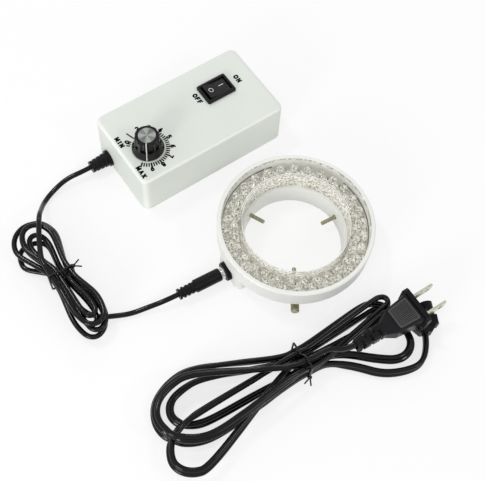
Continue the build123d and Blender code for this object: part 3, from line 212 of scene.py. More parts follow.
def see_through(name, dark, light, rough, blotch, flat_share, upright_share, glow):
    """Speckled clear plastic with painted glints, painted flecks of shade and a painted glow of strength
    glow; the shares say how solid its flat faces and its upright walls look, and a solid speckled wall is a
    painted reflection of the lamps.
    """
    mat, tree, bsdf = shader(name)
    # Painted glints and flecks of shade, as small patches of colour
    painted_glints_and_shade = ramp(tree, noise(tree, blotch, 4.0), 0.44, dark, 0.55, light)
    tree.links.new(painted_glints_and_shade, bsdf.inputs["Base Color"])
    # Painted glow: the same colours are given off as light, though these parts are unlit
    tree.links.new(painted_glints_and_shade, bsdf.inputs["Emission Color"])
    bsdf.inputs["Emission Strength"].default_value = glow
    fine = noise(tree, 600.0, 2.0)
    tree.links.new(spread(tree, fine, *rough), bsdf.inputs["Roughness"])
    bump(tree, bsdf, fine, 0.05)
    bsdf.inputs["Specular IOR Level"].default_value = 0.9
    # On the cover, the more solid upright walls show the speckled colour as a painted reflection of the
    # lamps
    upright = oblique(tree, (tuple(UP),), 0.25, 0.75)
    tree.links.new(spread(tree, upright, flat_share, upright_share, 0.0, 1.0), bsdf.inputs["Alpha"])
    return mat


def spun(name):
    """Turned face: fine rings round the piece's own axis, and painted fans of light and shade across them.
    """
    mat, tree, bsdf = shader(name)
    coords = tree.nodes.new("ShaderNodeTexCoord")
    mapping = tree.nodes.new("ShaderNodeMapping")
    low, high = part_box("knob_cap")
    mapping.inputs["Location"].default_value = tuple(-(low + high) * 0.5)
    tree.links.new(coords.outputs["Object"], mapping.inputs["Vector"])
    wave = tree.nodes.new("ShaderNodeTexWave")
    wave.wave_type = "RINGS"
    wave.rings_direction = "Z"
    wave.inputs["Scale"].default_value = 900.0
    wave.inputs["Distortion"].default_value = 0.6
    tree.links.new(mapping.outputs["Vector"], wave.inputs["Vector"])
    # Painted highlight and shade: four fans round the centre
    around = tree.nodes.new("ShaderNodeTexGradient")
    around.gradient_type = "RADIAL"
    tree.links.new(mapping.outputs["Vector"], around.inputs["Vector"])
    four_turns = maths(tree, "MULTIPLY", around.outputs["Fac"], 4 * 2 * pi)
    fans = spread(tree, maths(tree, "SINE", maths(tree, "ADD", four_turns, 0.9)), 0.0, 1.0, -1.0, 1.0)
    shade = ramp(tree, fans, 0.2, (0.09, 0.10, 0.09), 0.8, (0.42, 0.44, 0.41))
    rings = ramp(tree, wave.outputs["Fac"], 0.1, (0.20, 0.21, 0.20), 0.9, (0.30, 0.32, 0.30))
    tree.links.new(mixed(tree, 0.5, shade, rings), bsdf.inputs["Base Color"])
    tree.links.new(spread(tree, wave.outputs["Fac"], 0.40, 0.50, 0.0, 1.0), bsdf.inputs["Roughness"])
    bump(tree, bsdf, wave.outputs["Fac"], 0.10)
    bsdf.inputs["Metallic"].default_value = 0.9
    bsdf.inputs["Anisotropic"].default_value = 0.5
    tangent = tree.nodes.new("ShaderNodeTangent")
    tangent.direction_type = "RADIAL"
    tangent.axis = "Z"
    tree.links.new(tangent.outputs["Tangent"], bsdf.inputs["Tangent"])
    return mat


# Materials
# The third colour is the painted highlight on the box's rounded edges
box_grey = pale_case("box_grey", (0.70, 0.735, 0.685), (0.735, 0.765, 0.715), (0.86, 0.87, 0.83))
ring_white = plastic(
    "ring_white", (0.79, 0.80, 0.765), (0.84, 0.85, 0.815), (0.36, 0.5),
    grain=1400.0, blotch=22.0,
)
# Cover, lamp domes and board get painted glints, painted flecks of shade and a painted glow
cover_clear = see_through(
    "cover_clear", (0.40, 0.38, 0.29), (0.97, 0.96, 0.91), (0.05, 0.12),
    blotch=700.0, flat_share=0.04, upright_share=0.66, glow=0.14,
)
lamp_clear = see_through(
    "lamp_clear", (0.21, 0.195, 0.135), (1.0, 1.0, 0.96), (0.03, 0.10),
    blotch=900.0, flat_share=0.5, upright_share=0.5, glow=0.25,
)
board_cream = see_through(
    "board_cream", (0.36, 0.34, 0.26), (0.95, 0.94, 0.88), (0.35, 0.6),
    blotch=700.0, flat_share=1.0, upright_share=1.0, glow=0.2,
)
board_green = plastic(
    "board_green", (0.015, 0.11, 0.045), (0.03, 0.16, 0.07), (0.25, 0.4),
    grain=300.0, depth=0.15, blotch=90.0,
)
black_matt = plastic(
    "black_matt", (0.004, 0.004, 0.005), (0.009, 0.009, 0.010), (0.34, 0.5),
    grain=1100.0, depth=0.12, blotch=60.0, specular=0.18,
)
black_soft = plastic(
    "black_soft", (0.004, 0.004, 0.005), (0.009, 0.008, 0.010), (0.24, 0.36),
    depth=0.12, blotch=50.0, specular=0.16,
)
grip_black = plastic(
    "grip_black", (0.055, 0.054, 0.056), (0.080, 0.078, 0.082), (0.30, 0.42),
    depth=0.12, blotch=50.0, specular=0.4,
)
knob_black = plastic(
    "knob_black", (0.002, 0.002, 0.002), (0.004, 0.004, 0.004), (0.09, 0.14),
    grain=500.0, depth=0.04, blotch=30.0, specular=0.3,
)
rocker_black = plastic(
    "rocker_black", (0.006, 0.006, 0.007), (0.012, 0.012, 0.013), (0.20, 0.32),
    grain=800.0, depth=0.05, specular=0.3,
)
cord_black = plastic(
    "cord_black", (0.002, 0.002, 0.003), (0.005, 0.005, 0.006), (0.10, 0.15),
    grain=260.0, depth=0.05, blotch=18.0, specular=0.24,
)
tie_black = plastic(
    "tie_black", (0.003, 0.003, 0.004), (0.009, 0.009, 0.010), (0.16, 0.28),
    grain=700.0, blotch=60.0, specular=0.35,
)
ink_black = plastic(
    "ink_black", (0.003, 0.003, 0.003), (0.006, 0.006, 0.006), (0.5, 0.7),
    grain=2500.0, depth=0.1, blotch=700.0, specular=0.1,
)
ink_white = plastic(
    "ink_white", (0.72, 0.73, 0.72), (0.84, 0.85, 0.84), (0.45, 0.6),
    grain=2500.0, depth=0.2, blotch=700.0,
)
# Colour of the painted shade marks among the lamps
shade_dark = plastic(
    "shade_dark", (0.030, 0.026, 0.020), (0.08, 0.07, 0.055), (0.5, 0.7),
    depth=0.2, blotch=300.0, specular=0.2,
)
# Colour of the painted highlights on the cover's rim
rim_highlight_white = plastic(
    "rim_highlight_white", (0.93, 0.93, 0.91), (0.98, 0.98, 0.97), (0.08, 0.16),
    depth=0.05, blotch=60.0,
)
# Colour of the painted shade line inside the outer wall
painted_shade_brown = plastic(
    "painted_shade_brown", (0.040, 0.026, 0.016), (0.09, 0.065, 0.045), (0.5, 0.7),
    depth=0.2, blotch=60.0, specular=0.2,
)
screw_metal = metal(
    "screw_metal", (0.25, 0.24, 0.15), (0.44, 0.43, 0.29), (0.28, 0.42),
    grain=900.0, depth=0.15, metallic=0.85,
)
brass = metal("brass", (0.45, 0.34, 0.14), (0.62, 0.50, 0.24), (0.25, 0.4))
steel = metal("steel", (0.42, 0.42, 0.42), (0.60, 0.60, 0.60), (0.25, 0.42))
nickel = metal("nickel", (0.62, 0.62, 0.60), (0.80, 0.80, 0.78), (0.10, 0.22))
blade_metal = metal(
    "blade_metal", (0.56, 0.55, 0.44), (0.74, 0.73, 0.62), (0.20, 0.36),
    stretch=(1.0, 1.0, 9.0), grain=500.0, depth=0.08,
)
ferrite = plastic(
    "ferrite", (0.010, 0.010, 0.011), (0.03, 0.03, 0.032), (0.5, 0.75),
    grain=700.0, depth=0.3,
)
tape = plastic("tape", (0.52, 0.34, 0.03), (0.62, 0.45, 0.06), (0.2, 0.35), grain=300.0, depth=0.1)
wire_red = plastic(
    "wire_red", (0.30, 0.012, 0.010), (0.40, 0.03, 0.02), (0.3, 0.45),
    grain=500.0, depth=0.1,
)
sleeve = plastic("sleeve", (0.008, 0.014, 0.05), (0.02, 0.03, 0.09), (0.15, 0.3), grain=300.0, depth=0.05)
spun_metal = spun("spun_metal")

FINISH = {
    "ring_housing": ring_white,
    "ring_cover": cover_clear,
    "led_board": board_cream,
    "led_inner_row": lamp_clear,
    "led_outer_row": lamp_clear,
    "led_resistors": black_matt,
    "thumbscrew_front": screw_metal,
    "thumbscrew_right": screw_metal,
    "thumbscrew_left": screw_metal,
    "screw_inserts": brass,
    "dc_jack_body": nickel,
    "dc_jack_pin": nickel,
    "dc_jack_nut": black_matt,
    "ring_wires": wire_red,
    "dc_plug_barrel": nickel,
    "dc_plug_insulator": black_matt,
    "dc_plug_contact": brass,
    "dc_plug_body": black_soft,
    "box_shell": box_grey,
    "box_base": box_grey,
    "case_screws": steel,
    "circuit_board": board_green,
    "board_screws": steel,
    "transformer_core": ferrite,
    "transformer_winding": tape,
    "filter_capacitor": sleeve,
    "output_capacitors": sleeve,
    "power_transistor": black_matt,
    "input_fuse": nickel,
    "dimmer_body": steel,
    "dimmer_shaft": steel,
    "dimmer_washer": steel,
    "dimmer_nut": steel,
    "knob": knob_black,
    "knob_cap": spun_metal,
    "switch_housing": black_matt,
    "switch_terminals": brass,
    "rocker": rocker_black,
    "inlet_housing": black_matt,
    "inlet_pins": nickel,
    "box_wires": wire_red,
    "dc_strain_relief": black_soft,
    "dc_hank_tie": tie_black,
    "mains_hank_tie": tie_black,
    "mains_plug_body": black_soft,
    "plug_blades": blade_metal,
    "connector_body": black_soft,
    "connector_contacts": brass,
}
for node, finish in FINISH.items():
    piece = nodes[node]
    piece.data.materials.clear()
    piece.data.materials.append(finish)


# Mesh helpers: lengths are in millimetres until add_mesh
def add_mesh(name, vertices, faces, material, body, smooth=False):
    mesh = bpy.data.meshes.new(name)
    mesh.from_pydata([tuple(spot * MM) for spot in vertices], [], faces)
    mesh.update()
    cleaner = bmesh.new()
    cleaner.from_mesh(mesh)
    bmesh.ops.recalc_face_normals(cleaner, faces=cleaner.faces)
    cleaner.to_mesh(mesh)
    cleaner.free()
    for face in mesh.polygons:
        face.use_smooth = smooth
    obj = bpy.data.objects.new(name, mesh)
    bpy.context.scene.collection.objects.link(obj)
    mesh.materials.append(material)
    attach(obj, body)
    return obj


def skin(vertices, faces, outlines, ends="capped"):
    """Joins each outline to the next by faces. The ends are capped, joined to each other or left open."""
    start = len(vertices)
    size = len(outlines[0])
    for outline in outlines:
        vertices.extend(outline)
    firsts = list(range(start, len(vertices), size))
    nexts = firsts[1:] + (firsts[:1] if ends == "joined" else [])
    for a, b in zip(firsts, nexts):
        for m in range(size):
            n = (m + 1) % size
            faces.append((a + m, b + m, b + n, a + n))
    if ends == "capped":
        faces.append(tuple(firsts[0] + m for m in range(size)))
        faces.append(tuple(firsts[-1] + m for m in reversed(range(size))))


def prism(vertices, faces, outline, lift):
    """A flat outline thickened by the vector lift."""
    skin(vertices, faces, [outline, [spot + lift for spot in outline]])


def bar(vertices, faces, a, b, width, lift, extend=0.0):
    """A straight bar from a to b, longer by extend at both ends and thickened by lift."""
    along = (b - a).normalized()
    side = lift.normalized().cross(along) * (width * 0.5)
    a = a - along * extend
    b = b + along * extend
    prism(vertices, faces, [a - side, b - side, b + side, a + side], lift)


def turned(vertices, faces, centre, profile, count):
    """An open skin round an upright axis through centre; the profile gives radius and height."""
    ways = [heading(360.0 * k / count) for k in range(count)]
    skin(vertices, faces, [[centre + way * r + UP * z for way in ways] for r, z in profile], "open")


def arc_strip(vertices, faces, radius, width, first, last, steps, level, thickness):
    """A flat strip round the ring from one angle to another, with its underside at the level."""
    for k in range(steps):
        a = heading(first + (last - first) * k / steps)
        b = heading(first + (last - first) * (k + 1) / steps)
        outline = [a * radius, b * radius, b * (radius + width), a * (radius + width)]
        prism(vertices, faces, [spot + UP * level for spot in outline], UP * thickness)


def arc_points(cx, cy, rx, ry, start, end, steps):
    angles = [radians(start + (end - start) * k / steps) for k in range(steps + 1)]
    return [(cx + rx * cos(angle), cy + ry * sin(angle)) for angle in angles]


# Letters and figures in a box 1 high: width, strokes and thin strokes
GLYPHS = {
    "M": (1.05, [[(0.14, 0), (0.14, 1)], [(0.91, 0), (0.91, 1)], [(0.14, 1), (0.52, 0.2), (0.91, 1)]],
          [[(0.0, 0), (0.3, 0)], [(0.75, 0), (1.05, 0)], [(0.0, 1), (0.2, 1)], [(0.85, 1), (1.05, 1)]]),
    "I": (0.5, [[(0.25, 0), (0.25, 1)]], [[(0.02, 0), (0.48, 0)], [(0.02, 1), (0.48, 1)]]),
    "N": (0.95, [[(0.14, 0), (0.14, 1)], [(0.14, 1), (0.8, 0)], [(0.8, 0), (0.8, 1)]],
          [[(0.0, 0), (0.3, 0)], [(0.0, 1), (0.2, 1)], [(0.64, 1), (0.95, 1)]]),
    "A": (0.95, [[(0.12, 0), (0.47, 1), (0.84, 0)], [(0.25, 0.36), (0.7, 0.36)]],
          [[(0.0, 0), (0.27, 0)], [(0.68, 0), (0.97, 0)]]),
    "X": (0.95, [[(0.13, 0), (0.82, 1)], [(0.13, 1), (0.82, 0)]],
          [[(0.0, 0), (0.27, 0)], [(0.68, 0), (0.97, 0)], [(0.0, 1), (0.27, 1)], [(0.68, 1), (0.97, 1)]]),
    "O": (0.95, [arc_points(0.47, 0.5, 0.37, 0.46, 0, 360, 20)], []),
    "F": (0.8, [[(0.16, 0), (0.16, 1), (0.74, 1)], [(0.16, 0.52), (0.58, 0.52)]], [[(0.0, 0), (0.36, 0)]]),
    "0": (0.7, [arc_points(0.35, 0.5, 0.26, 0.44, 0, 360, 18)], []),
    "2": (0.7, [arc_points(0.35, 0.72, 0.26, 0.26, 160, -30, 9) + [(0.1, 0.04), (0.62, 0.04)]], []),
    "3": (0.7, [arc_points(0.33, 0.74, 0.24, 0.22, 150, -80, 8),
                arc_points(0.33, 0.28, 0.28, 0.26, 80, -150, 9)], []),
    "4": (0.75, [[(0.52, 0), (0.52, 1), (0.06, 0.3), (0.7, 0.3)]], []),
    "5": (0.7, [[(0.6, 0.96), (0.18, 0.96), (0.13, 0.54)],
                arc_points(0.33, 0.32, 0.28, 0.28, 120, -140, 10)], []),
    "6": (0.7, [arc_points(0.35, 0.3, 0.25, 0.26, 0, 360, 16), [(0.1, 0.34), (0.2, 0.75), (0.52, 1.0)]], []),
    "7": (0.7, [[(0.08, 0.96), (0.62, 0.96), (0.28, 0)]], []),
    "8": (0.7, [arc_points(0.35, 0.74, 0.21, 0.21, 0, 360, 14),
                arc_points(0.35, 0.27, 0.26, 0.25, 0, 360, 14)], []),
    "9": (0.7, [arc_points(0.35, 0.7, 0.25, 0.26, 0, 360, 16), [(0.6, 0.66), (0.5, 0.25), (0.18, 0.0)]], []),
}
INK = UP * 0.05


def letter(vertices, faces, sign, origin, right, up, height, stroke):
    width, thick, thin = GLYPHS[sign]
    for strokes, size in ((thick, stroke), (thin, stroke * 0.55)):
        for line in strokes:
            spots = [origin + right * (x * height) + up * (y * height) for x, y in line]
            for a, b in zip(spots, spots[1:]):
                bar(vertices, faces, a, b, size, INK, size * 0.3)
    return width * height


def lettering(vertices, faces, text, centre, right, up, height, gap, stroke):
    length = sum(GLYPHS[sign][0] * height for sign in text) + gap * (len(text) - 1)
    place = centre - right * (length * 0.5) - up * (height * 0.5)
    for sign in text:
        place = place + right * (letter(vertices, faces, sign, place, right, up, height, stroke) + gap)


# Words on the box
WORD_STROKE = 1.05
vertices, faces = [], []
for text, u, v, height, gap in (
    ("MIN", 4.5, 34.4, 2.4, 0.95),
    ("MAX", 4.4, 9.0, 2.4, 0.85),
    ("ON", 93.0, 35.2, 2.7, 0.8),
    ("OFF", 62.7, 36.0, 2.6, 0.6),
):
    lettering(vertices, faces, text, box_point(u, v, BOX_TOP), -BOX_V, BOX_U, height, gap, WORD_STROKE)
words = add_mesh("case_lettering", vertices, faces, ink_black, ROOT)

# Dial round the knob: marks, a long stroke in place of the 1, and the other figures
KNOB_CENTRE = box_point(KNOB_U, KNOB_V, BOX_TOP)
DIAL_ZERO = 140.0
DIAL_STEP = 28.0
DIAL_RADIUS = 11.0
FIGURE_RADIUS = 15.2
FIGURE_HEIGHT = 2.8
FIGURE_STROKE = 0.95


def dial_way(number):
    return box_heading(DIAL_ZERO - DIAL_STEP * number)


vertices, faces = [], []
for quarter in [0, 1, 2] + list(range(15, 41)):
    way = dial_way(quarter / 4)
    whole = quarter % 4 == 0 and quarter > 0
    reach, width = (14.5, 1.05) if whole else (13.6, 0.85)
    bar(vertices, faces, KNOB_CENTRE + way * DIAL_RADIUS, KNOB_CENTRE + way * reach, width, INK)
way = dial_way(1.1)
bar(vertices, faces, KNOB_CENTRE + way * 10.6, KNOB_CENTRE + way * 17.2, 0.85, INK)
figures = [(0, 0.4, 13.6), (2, 2, 15.6)] + [(number, number, FIGURE_RADIUS) for number in range(3, 10)]
for number, place, radius in figures:
    way = dial_way(place)
    spot = KNOB_CENTRE + way * radius
    lettering(vertices, faces, str(number), spot, way.cross(UP), way, FIGURE_HEIGHT, 0.0, FIGURE_STROKE)
dial = add_mesh("dial_scale", vertices, faces, ink_black, ROOT)

# Pointer line on the knob: over its top edge, down its side and over the skirt, as radius and height
POINTER_TURN = -126.0
POINTER_HALF_WIDTH = 0.26
POINTER_DEPTH = 0.25
POINTER_PROFILE = (
    (5.5, 44.52), (7.05, 44.54), (7.6, 44.2), (7.72, 43.8), (8.17, 35.95), (10.03, 32.3), (10.03, 31.7),
)
way = box_heading(POINTER_TURN)
side = UP.cross(way) * POINTER_HALF_WIDTH
outlines = []
for r, z in POINTER_PROFILE:
    outer = box_point(KNOB_U, KNOB_V, z) + way * r
    inner = outer - (way + UP) * POINTER_DEPTH
    outlines.append([outer - side, outer + side, inner + side, inner - side])
vertices, faces = [], []
skin(vertices, faces, outlines)
pointer = add_mesh("knob_pointer", vertices, faces, ink_white, KNOB)


# Marks on the rocker, laid on its own surface: a ring for off and a stroke for on
ABOVE = 80.0
OFF_CENTRE = (72.8, 35.6)
ON_START = 79.2
ON_LENGTH = 3.4
ON_SIDES = (36.25, 36.65)


def on_rocker(u, v, lift):
    """The place on the rocker's face at u and v, raised by lift."""
    hit, place = nodes["rocker"].ray_cast(box_point(u, v, ABOVE) * MM, -UP)[:2]
    height = place.z / MM if hit else BOX_TOP
    return box_point(u, v, height + lift)


def mark_outline(near, far):
    """The cut through a mark that is sunk 0.1 into the rocker and stands 0.05 above it."""
    return [on_rocker(*near, -0.1), on_rocker(*near, 0.05), on_rocker(*far, 0.05), on_rocker(*far, -0.1)]


vertices, faces = [], []
inner_ring = arc_points(*OFF_CENTRE, 1.25, 1.25, 0, 360, 36)[:-1]
outer_ring = arc_points(*OFF_CENTRE, 1.6, 1.6, 0, 360, 36)[:-1]
skin(vertices, faces, [mark_outline(near, far) for near, far in zip(inner_ring, outer_ring)], "joined")
stations = [ON_START + ON_LENGTH * k / 6 for k in range(7)]
skin(vertices, faces, [mark_outline((u, ON_SIDES[0]), (u, ON_SIDES[1])) for u in stations])
marks = add_mesh("rocker_marks", vertices, faces, ink_white, ROCKER)

# Cup and two posts inside each lamp
LAMPS_IN_ROW = 30
LAMP_STEP = 360.0 / LAMPS_IN_ROW
LAMP_FOOT = 14.9
# Radius and first angle of the inner and the outer row
LAMP_ROWS = ((36.95, 0.0), (41.3, 6.0))
# Radius and height, up the outside and down the inside
CUP = [(0.5, 1.2), (1.15, 3.1), (1.05, 3.15), (0.35, 2.6), (0.02, 2.6)]
# Offset, width, foot and top
POSTS = ((-1.35, 0.75, 0.2, 3.3), (0.35, 0.9, 0.2, 1.3))
POST_DEPTH = 0.7
lamps = []
for row, (radius, phase) in enumerate(LAMP_ROWS):
    for k in range(LAMPS_IN_ROW):
        angle = phase + LAMP_STEP * k
        lamps.append((heading(angle) * radius, angle, row))
vertices, faces = [], []
for n, (spot, angle, row) in enumerate(lamps):
    turn = heading(angle + 90.0 + 14.0 * sin(2.4 * n + row))
    base = spot + UP * LAMP_FOOT
    turned(vertices, faces, base + turn * 0.25, CUP, 12)
    for offset, width, low, high in POSTS:
        foot = base + turn * offset + UP * low
        half = turn * (width * 0.5)
        bar(vertices, faces, foot - half, foot + half, POST_DEPTH, UP * (high - low))
lamp_frames = add_mesh("lamp_lead_frames", vertices, faces, nickel, RING)

# Painted shade marks: one on the board beside each lamp, where shade falls between the lamps, and a painted
# dark glint in the dome of two lamps out of three
BOARD_LEVEL = 14.8
DOME_RISE = 5.4
vertices, faces = [], []
for n, (spot, angle, row) in enumerate(lamps):
    between = heading(angle + LAMP_STEP / 2 + 0.8 * sin(3.7 * n))
    near, far = (42.6, 44.1) if row == 1 else (34.3, 35.4)
    level = UP * BOARD_LEVEL
    bar(vertices, faces, between * near + level, between * far + level, 0.55, INK)
    if n % 3 != 2:
        middle = spot + UP * (LAMP_FOOT + DOME_RISE) + heading(47.0 * n) * 0.9
        half = heading(80.0 * n + 20.0) * (0.5 + 0.15 * (n % 3))
        bar(vertices, faces, middle - half, middle + half, 0.42, UP * 0.2)
painted_shade_marks = add_mesh("board_shade_marks", vertices, faces, shade_dark, RING)

# Painted highlights on the edges of the cover's rim: inner radius, width and the two angles of each
RIM_LEVEL = 27.3
RIM_EDGE_THICKNESS = 0.04
vertices, faces = [], []
for radius, width, first, last in ((33.35, 0.35, 12.0, 168.0), (32.5, 0.25, 0.0, 360.0)):
    arc_strip(vertices, faces, radius, width, first, last, 90, RIM_LEVEL, RIM_EDGE_THICKNESS)
rim_highlights = add_mesh("cover_lip_edges", vertices, faces, rim_highlight_white, RING)

# Painted shade line just inside the outer wall, in two stretches
SHADE_LINE_RADIUS = 44.3
SHADE_LINE_WIDTH = 0.25
SHADE_LINE_LEVEL = 19.4
SHADE_LINE_HEIGHT = 1.0
vertices, faces = [], []
for first, last in ((108.0, 170.0), (-16.0, 46.0)):
    arc_strip(vertices, faces, SHADE_LINE_RADIUS, SHADE_LINE_WIDTH, first, last, 40, SHADE_LINE_LEVEL, SHADE_LINE_HEIGHT)
painted_shade_line = add_mesh("board_painted_shade_line", vertices, faces, painted_shade_brown, RING)


# Cord helpers: a knot is a place and the heading there
def curve_object(name, points, radius=0.0):
    curve = bpy.data.curves.new(name, "CURVE")
    curve.dimensions = "3D"
    spline = curve.splines.new("NURBS")
    spline.points.add(len(points) - 1)
    for point, spot in zip(spline.points, points):
        point.co = (*(spot * MM), 1.0)
    spline.order_u = 3
    spline.use_endpoint_u = True
    curve.resolution_u = 8
    curve.bevel_depth = radius * MM
    curve.bevel_resolution = 5
    curve.use_fill_caps = radius > 0.0
    obj = bpy.data.objects.new(name, curve)
    bpy.context.scene.collection.objects.link(obj)
    return obj


def loop_points(knots):
    """Points of a smooth line through the knots, two or three to a stretch by how far it turns."""
    points = []
    for (a, a_way), (b, b_way) in zip(knots, knots[1:]):
        turn = a_way.angle(b_way)
        reach = (b - a).length * (1.0 + 0.17 * (turn / (pi * 0.5)) ** 2)
        steps = 3 if turn > 0.6 else 2
        for k in range(steps):
            t = k / steps
            points.append(
                a * (2 * t**3 - 3 * t**2 + 1)
                + a_way * (reach * (t**3 - 2 * t**2 + t))
                + b * (-2 * t**3 + 3 * t**2)
                + b_way * (reach * (t**3 - t**2))
            )
    points.append(knots[-1][0])
    return points


def hank_knot(x, y, z, angle, place, turn):
    """A knot given in a hank's own axes, where x runs along the hank."""
    spot = Vector((place[0], place[1], z)) + heading(turn) * x + heading(turn + 90.0) * y
    return spot, heading(turn + angle)


def turn_knots(turns, waist, pitch, knot):
    """Knots of each turn: out from one side of the waist, round the middle ones and back."""
    knots = []
    for side, layer, near, middle, far in turns:
        out, back = (0.0, 180.0) if side > 0 else (180.0, 0.0)
        knots.append(knot(side * waist, near * pitch, layer, out))
        for x, y, angle in middle:
            knots.append(knot(x, y, layer, angle))
        knots.append(knot(side * waist, far * pitch, layer, back))
    return knots


# Low-voltage lead. Each turn: side, layer, strand it leaves from, knots on the way and strand it comes to
DC_RADIUS = 1.6
DC_PITCH = 3.7
DC_WAIST = 6.0
DC_BASE = 2.9
DC_PLACE = (-137.8, -30.8)
DC_TURN = -52.7
DC_TURNS = [
    (1, 3, -1.5, ((22.0, -7.0, 0.0), (39.5, 1.0, 90.0), (22.0, 9.5, 180.0)), 1.5),
    (-1, 3, 1.5, ((-25.0, 9.5, 180.0), (-38.0, 0.0, 270.0), (-24.0, -9.0, 360.0)), -0.5),
    (1, 3, -0.5, ((22.0, -2.6, 0.0), (33.5, 0.8, 90.0), (20.0, 4.4, 180.0)), 0.5),
    (-1, 2, 0.5, ((-22.0, 5.0, 180.0), (-33.0, -0.5, 270.0), (-23.0, -5.4, 360.0)), -0.5),
    (1, 2, -0.5, ((24.0, -4.0, 0.0), (42.0, 0.0, 90.0), (22.0, 9.5, 180.0)), 1.5),
    (-1, 2, 1.5, ((-26.0, 11.5, 180.0), (-41.5, -1.0, 270.0), (-27.0, -14.5, 360.0)), -1.5),
    (1, 1, -1.5, ((26.0, -9.5, 0.0), (43.5, -2.5, 90.0), (22.0, 8.5, 180.0)), 1.5),
    (-1, 1, 1.5, ((-27.0, 12.5, 180.0), (-43.0, 2.0, 270.0), (-26.0, -8.0, 360.0)), -0.5),
    (1, 1, -0.5, ((22.0, -4.0, 0.0), (36.0, -1.0, 90.0), (20.0, 3.8, 180.0)), 0.5),
    (-1, 0, 0.5, ((-24.0, 5.0, 180.0), (-33.0, -7.0, 270.0), (-20.0, -15.0, 360.0)), -0.5),
]


def dc_knot(x, y, layer, angle):
    return hank_knot(x, y, DC_BASE + layer * DC_PITCH, angle, DC_PLACE, DC_TURN)


dc_knots = [dc_knot(-DC_WAIST, -1.5 * DC_PITCH, 4, 0.0)]
dc_knots += turn_knots(DC_TURNS, DC_WAIST, DC_PITCH, dc_knot)
dc_exit, dc_exit_way = dc_knot(32.9, 5.5, 0, 60.0)
dc_knots += [dc_knot(DC_WAIST, -0.5 * DC_PITCH, 0, 0.0), (dc_exit, dc_exit_way)]
plug_way = heading(-150.0)
dc_points = [
    box_point(9.0, 43.2, 6.5),
    box_point(-18.0, 43.2, 6.5),
    Vector((-142.6, 39.2, 5.0)),
    Vector((-151.4, 30.6, 2.0)),
    Vector((-155.4, 22.6, 2.4)),
    Vector((-155.1, 14.4, 9.0)),
    Vector((-154.2, 4.6, 17.8)),
    Vector((-152.2, -11.5, 17.6)),
    dc_knot(-2 * DC_WAIST, -1.5 * DC_PITCH, 4, 0.0)[0],
]
dc_points += loop_points(dc_knots)
dc_points += [
    dc_exit + dc_exit_way * 8.0,
    Vector((-96.6, -50.6, 1.7)),
    Vector((-86.4, -46.9, 3.6)),
    plug_way * 86.2 + UP * 6.75,
    plug_way * 62.0 + UP * 6.75,
]
dc_cord = curve_object("low_voltage_lead", dc_points, DC_RADIUS)
dc_cord.data.materials.append(cord_black)
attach(dc_cord, ROOT)
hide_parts("dc_cord_from_box", "dc_cord_hank", "dc_cord_to_plug")

# Mains lead, flat twin cord on edge. The turns are given as above
MAINS_PITCH = 3.7
MAINS_LAYER = 6.1
MAINS_WAIST = 8.0
MAINS_BASE = 4.1
MAINS_PLACE = (2.8, -79.5)
MAINS_TURN = 30.0
MAINS_TURNS = [
    (-1, 2, -1.0, ((-62.0, 22.0, 180.0), (-89.5, 6.0, 270.0), (-62.0, -15.5, 360.0)), -2.0),
    (1, 1, -2.0, ((57.5, 3.2, 0.0), (64.0, 7.0, 90.0), (57.5, 10.8, 180.0)), 1.0),
    (-1, 1, 1.0, ((-60.0, 1.5, 180.0), (-92.0, -15.0, 270.0), (-76.0, -28.5, 360.0)), 0.0),
    (1, 0, 0.0, ((53.4, -1.2, 0.0), (58.0, 2.9, 90.0), (53.4, 7.0, 180.0)), 1.0),
    (-1, 0, 1.0, ((-56.0, 19.4, 180.0), (-80.5, 8.5, 270.0), (-60.0, -4.5, 360.0)), -1.0),
    (
        1, 0, -1.0,
        (
            (30.0, -11.5, -38.0), (46.0, -23.6, -28.0), (57.0, -25.6, 18.0),
            (64.4, -18.0, 78.0), (64.6, 0.0, 96.0), (50.0, 12.6, 180.0),
        ),
        2.0,
    ),
    (-1, 0, 2.0, ((-58.0, 28.0, 180.0), (-90.0, 7.0, 270.0), (-62.0, -13.8, 360.0)), -2.0),
]
PLUG_TURN = 33.3
PLUG_WAY = heading(PLUG_TURN)
PLUG_SIDE = heading(PLUG_TURN + 90.0)
PLUG_CENTRE = Vector((69.9, -49.5, 17.0))
CONNECTOR_WAY = heading(97.0)
CONNECTOR_REAR = Vector((77.0, -60.7, 4.4))


def mains_knot(x, y, layer, angle):
    return hank_knot(x, y, MAINS_BASE + layer * MAINS_LAYER, angle, MAINS_PLACE, MAINS_TURN)


mains_start, mains_start_way = mains_knot(MAINS_WAIST, -MAINS_PITCH, 2, 180.0)
mains_exit, mains_exit_way = mains_knot(20.0, -12.5, 0, -38.0)
mains_knots = [(mains_start, mains_start_way)]
mains_knots += turn_knots(MAINS_TURNS, MAINS_WAIST, MAINS_PITCH, mains_knot)
mains_knots += [mains_knot(MAINS_WAIST, -2 * MAINS_PITCH, 0, 0.0), (mains_exit, mains_exit_way)]
relief_end = PLUG_CENTRE - PLUG_WAY * 44.0
mains_points = [
    relief_end + PLUG_WAY * 16.0,
    relief_end - PLUG_WAY * 4.5,
    mains_start - mains_start_way * 7.5,
]
mains_points += loop_points(mains_knots)
mains_points += [
    mains_exit + mains_exit_way * 9.0,
    mains_knot(38.0, -29.2, 0, 0.0)[0],
    mains_knot(52.0, -34.5, 0, 0.0)[0],
    mains_knot(62.5, -34.6, 0, 0.0)[0],
    CONNECTOR_REAR - CONNECTOR_WAY * 4.5,
    CONNECTOR_REAR + CONNECTOR_WAY * 4.0,
]
guide = curve_object("mains_guide", mains_points)
line = [v.co / MM for v in bpy.data.meshes.new_from_object(guide).vertices]
bpy.data.objects.remove(guide)

# The flat cord stands upright near another turn and near its ends, and leans over where it has room
LEAN = radians(50.0)
LOOK_AROUND = 9.0
OWN_STRETCH = 20.0
TURN_CLOSE = 5.2
TURN_ROOM = 3.0
END_CLOSE = 18.0
END_ROOM = 30.0
LEAN_SMOOTHING = 14


